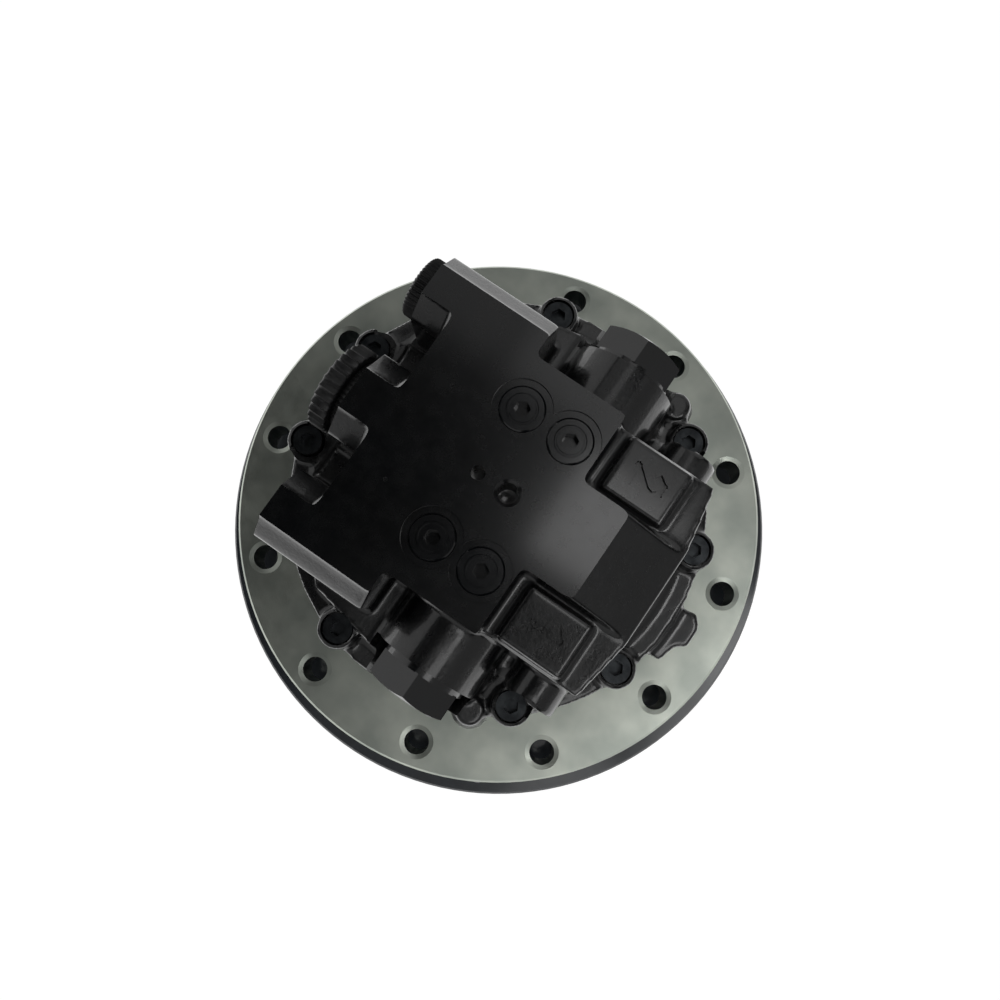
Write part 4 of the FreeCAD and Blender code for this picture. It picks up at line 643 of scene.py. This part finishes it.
def ribs(bm, radius, depth, count, low, high, at):
    """A moulded grip with rounded ribs along X, its edges chamfered."""
    steps = count * 8

    def row(x, shrink):
        verts = []
        for n in range(steps):
            angle = 2 * math.pi * n / steps
            out = radius - shrink - depth * (0.5 - 0.5 * math.cos(count * angle)) ** 0.6
            verts.append(bm.verts.new(Vector((x, at[0] + out * math.cos(angle),
                                              at[1] + out * math.sin(angle))) * MM))
        return verts
    rows = [row(low, 1.2), row(low + 0.5, 0.3), row(low + 1.2, 0), row(high - 0.6, 0),
            row(high, 0.6)]
    bm.faces.new(rows[0])
    bm.faces.new(rows[-1][::-1])
    for a, b in zip(rows, rows[1:]):
        for n in range(steps):
            m = (n + 1) % steps
            bm.faces.new((a[n], b[n], b[m], a[m]))


class OBJECT_OT_port_caps(bpy.types.Operator):
    """Build the ribbed plastic caps of two ports"""
    bl_idname = "drive.port_caps"
    bl_label = "Port caps"

    def execute(self, context):
        settings = context.scene.drive_settings
        bm = bmesh.new()
        ribs(bm, 14, 0.9, settings.cap_ribs, -77, -69.5, (PORT_Y, PORT_Z))
        rod(bm, 12, -70, -59.6, at=(PORT_Y, PORT_Z), axis="x")
        ribs(bm, 20, 1.3, settings.drain_ribs, -83, -74.5, (0, DRAIN_Z))
        ribs(bm, 16, 0.7, settings.cap_ribs, -75, -69.5, (0, DRAIN_Z))
        rod(bm, 15, -70, -59.6, at=(0, DRAIN_Z), axis="x")
        caps = to_object(bm, "ribbed_port_caps")
        shade(caps, 40)
        dress(caps, "cap_plastic", stands_for=("port_caps",))
        return {"FINISHED"}


class OBJECT_OT_frame_finishes(bpy.types.Operator):
    """Give every carried-over piece of the drive its own finish"""
    bl_idname = "drive.frame_finishes"
    bl_label = "Finishes of the drive's pieces"

    def execute(self, context):
        slots = {part["node"]: part["material_slot"] for part in frame["record"]["subparts"]}
        for name, thing in frame["nodes"].items():
            paint(thing, slots[name])
            shade(thing, 30)
        spindle = frame["nodes"]["spindle"].data
        spindle.materials.append(finish("black_paint"))
        for face in spindle.polygons:
            far = math.hypot(face.center.x, face.center.y)
            if face.center.z > 0.1 * MM and far < CASE_REACH * MM:
                face.material_index = 1
        return {"FINISHED"}


# ---------------------------------------------------------------- the stage


def soft_light(name, place, aim, size, power):
    """A square panel of light that faces a point."""
    lamp = bpy.data.lights.new(name, "AREA")
    lamp.shape = "SQUARE"
    lamp.size = size
    lamp.energy = power
    made = bpy.data.objects.new(name, lamp)
    bpy.context.scene.collection.objects.link(made)
    made.location = place
    made.rotation_euler = (Vector(aim) - Vector(place)).to_track_quat("-Z", "Y").to_euler()
    return made


class OBJECT_OT_drive_stage(bpy.types.Operator):
    """Set the floor, the soft lights, the world and the camera"""
    bl_idname = "drive.stage"
    bl_label = "Stage"

    def execute(self, context):
        settings = context.scene.drive_stage
        scene = context.scene
        low = CAD_BOX[0][2]
        bpy.ops.mesh.primitive_plane_add(size=8, location=(0, 0, low - 0.0005))
        floor = context.active_object
        floor.name = "floor"
        paper = bpy.data.materials.new("matt white paper")
        paper.use_nodes = True
        tree = paper.node_tree
        shader = tree.nodes["Principled BSDF"]
        shader.inputs["Base Color"].default_value = (*settings.floor_colour, 1)
        shader.inputs["Roughness"].default_value = 0.9
        grain = add(tree, "ShaderNodeTexNoise", Scale=900.0, Detail=3.0)
        bump = add(tree, "ShaderNodeBump", Height=grain.outputs["Fac"], Strength=0.05,
                   Distance=0.05 * MM)
        link(tree, bump.outputs["Normal"], shader, "Normal")
        glow = add(tree, "ShaderNodeEmission", Color=(1, 1, 1, 1), Strength=1.1)
        path = tree.nodes.new("ShaderNodeLightPath")
        bright = add(tree, "ShaderNodeMath", {"operation": "MAXIMUM"},
                     i0=path.outputs["Is Camera Ray"], i1=path.outputs["Is Glossy Ray"])
        seen = add(tree, "ShaderNodeMath", {"operation": "MULTIPLY"}, i0=bright.outputs[0],
                   i1=0.9)
        mix = add(tree, "ShaderNodeMixShader", Fac=seen.outputs[0], i1=shader.outputs[0],
                  i2=glow.outputs[0])
        tree.links.new(mix.outputs[0], tree.nodes["Material Output"].inputs["Surface"])
        floor.data.materials.append(paper)

        world = bpy.data.worlds.new("soft studio")
        scene.world = world
        world.use_nodes = True
        tree = world.node_tree
        back = tree.nodes["Background"]
        back.inputs["Color"].default_value = (1, 1, 1, 1)
        back.inputs["Strength"].default_value = settings.world_strength
        white = add(tree, "ShaderNodeBackground", Color=(1, 1, 1, 1), Strength=1.0)
        path = tree.nodes.new("ShaderNodeLightPath")
        mix = add(tree, "ShaderNodeMixShader", Fac=path.outputs["Is Camera Ray"],
                  i1=back.outputs[0], i2=white.outputs[0])
        tree.links.new(mix.outputs[0], tree.nodes["World Output"].inputs["Surface"])

        for name, place, size, power in SOFTBOXES:
            aim = (place[0], place[1], 0) if place[2] > OVERHEAD else (0, 0, 0.03)
            soft_light(name, place, aim, size, power * settings.light_gain)

        lens = bpy.data.cameras.new("camera")
        lens.lens = 32.4
        lens.sensor_width = 36
        lens.clip_start = 0.01
        camera = bpy.data.objects.new("camera", lens)
        scene.collection.objects.link(camera)
        camera.location = (0.03187, -0.04137, 0.44702)
        camera.rotation_euler = [math.radians(a) for a in (7.58, 0.22, 34.62)]
        scene.camera = camera
        scene.view_settings.view_transform = "Standard"
        return {"FINISHED"}


class VIEW3D_PT_track_drive(bpy.types.Panel):
    """Sizes of the track drive's looks, and a button for each of its pieces"""
    bl_label = "Track drive"
    bl_space_type = "VIEW_3D"
    bl_region_type = "UI"
    bl_category = "Track drive"

    def draw(self, context):
        for settings in (context.scene.drive_settings, context.scene.drive_stage):
            for name in settings.__annotations__:
                self.layout.prop(settings, name)
        for operator in OPERATORS:
            self.layout.operator(operator.bl_idname)


OPERATORS = (
    OBJECT_OT_frame_finishes, OBJECT_OT_valve_block, OBJECT_OT_block_plugs,
    OBJECT_OT_valve_caps, OBJECT_OT_port_caps, OBJECT_OT_drive_stage,
)
CLASSES = (DriveSettings, StageSettings, *OPERATORS, VIEW3D_PT_track_drive)


def register():
    for made in CLASSES:
        bpy.utils.register_class(made)
    bpy.types.Scene.drive_settings = PointerProperty(type=DriveSettings)
    bpy.types.Scene.drive_stage = PointerProperty(type=StageSettings)


def unregister():
    del bpy.types.Scene.drive_stage
    del bpy.types.Scene.drive_settings
    for made in reversed(CLASSES):
        bpy.utils.unregister_class(made)


def main():
    register()
    bpy.ops.drive.frame_finishes()
    bpy.ops.drive.valve_block()
    bpy.ops.drive.block_plugs()
    bpy.ops.drive.valve_caps()
    bpy.ops.drive.port_caps()
    bpy.ops.drive.stage()


if __name__ == "__main__":
    main()
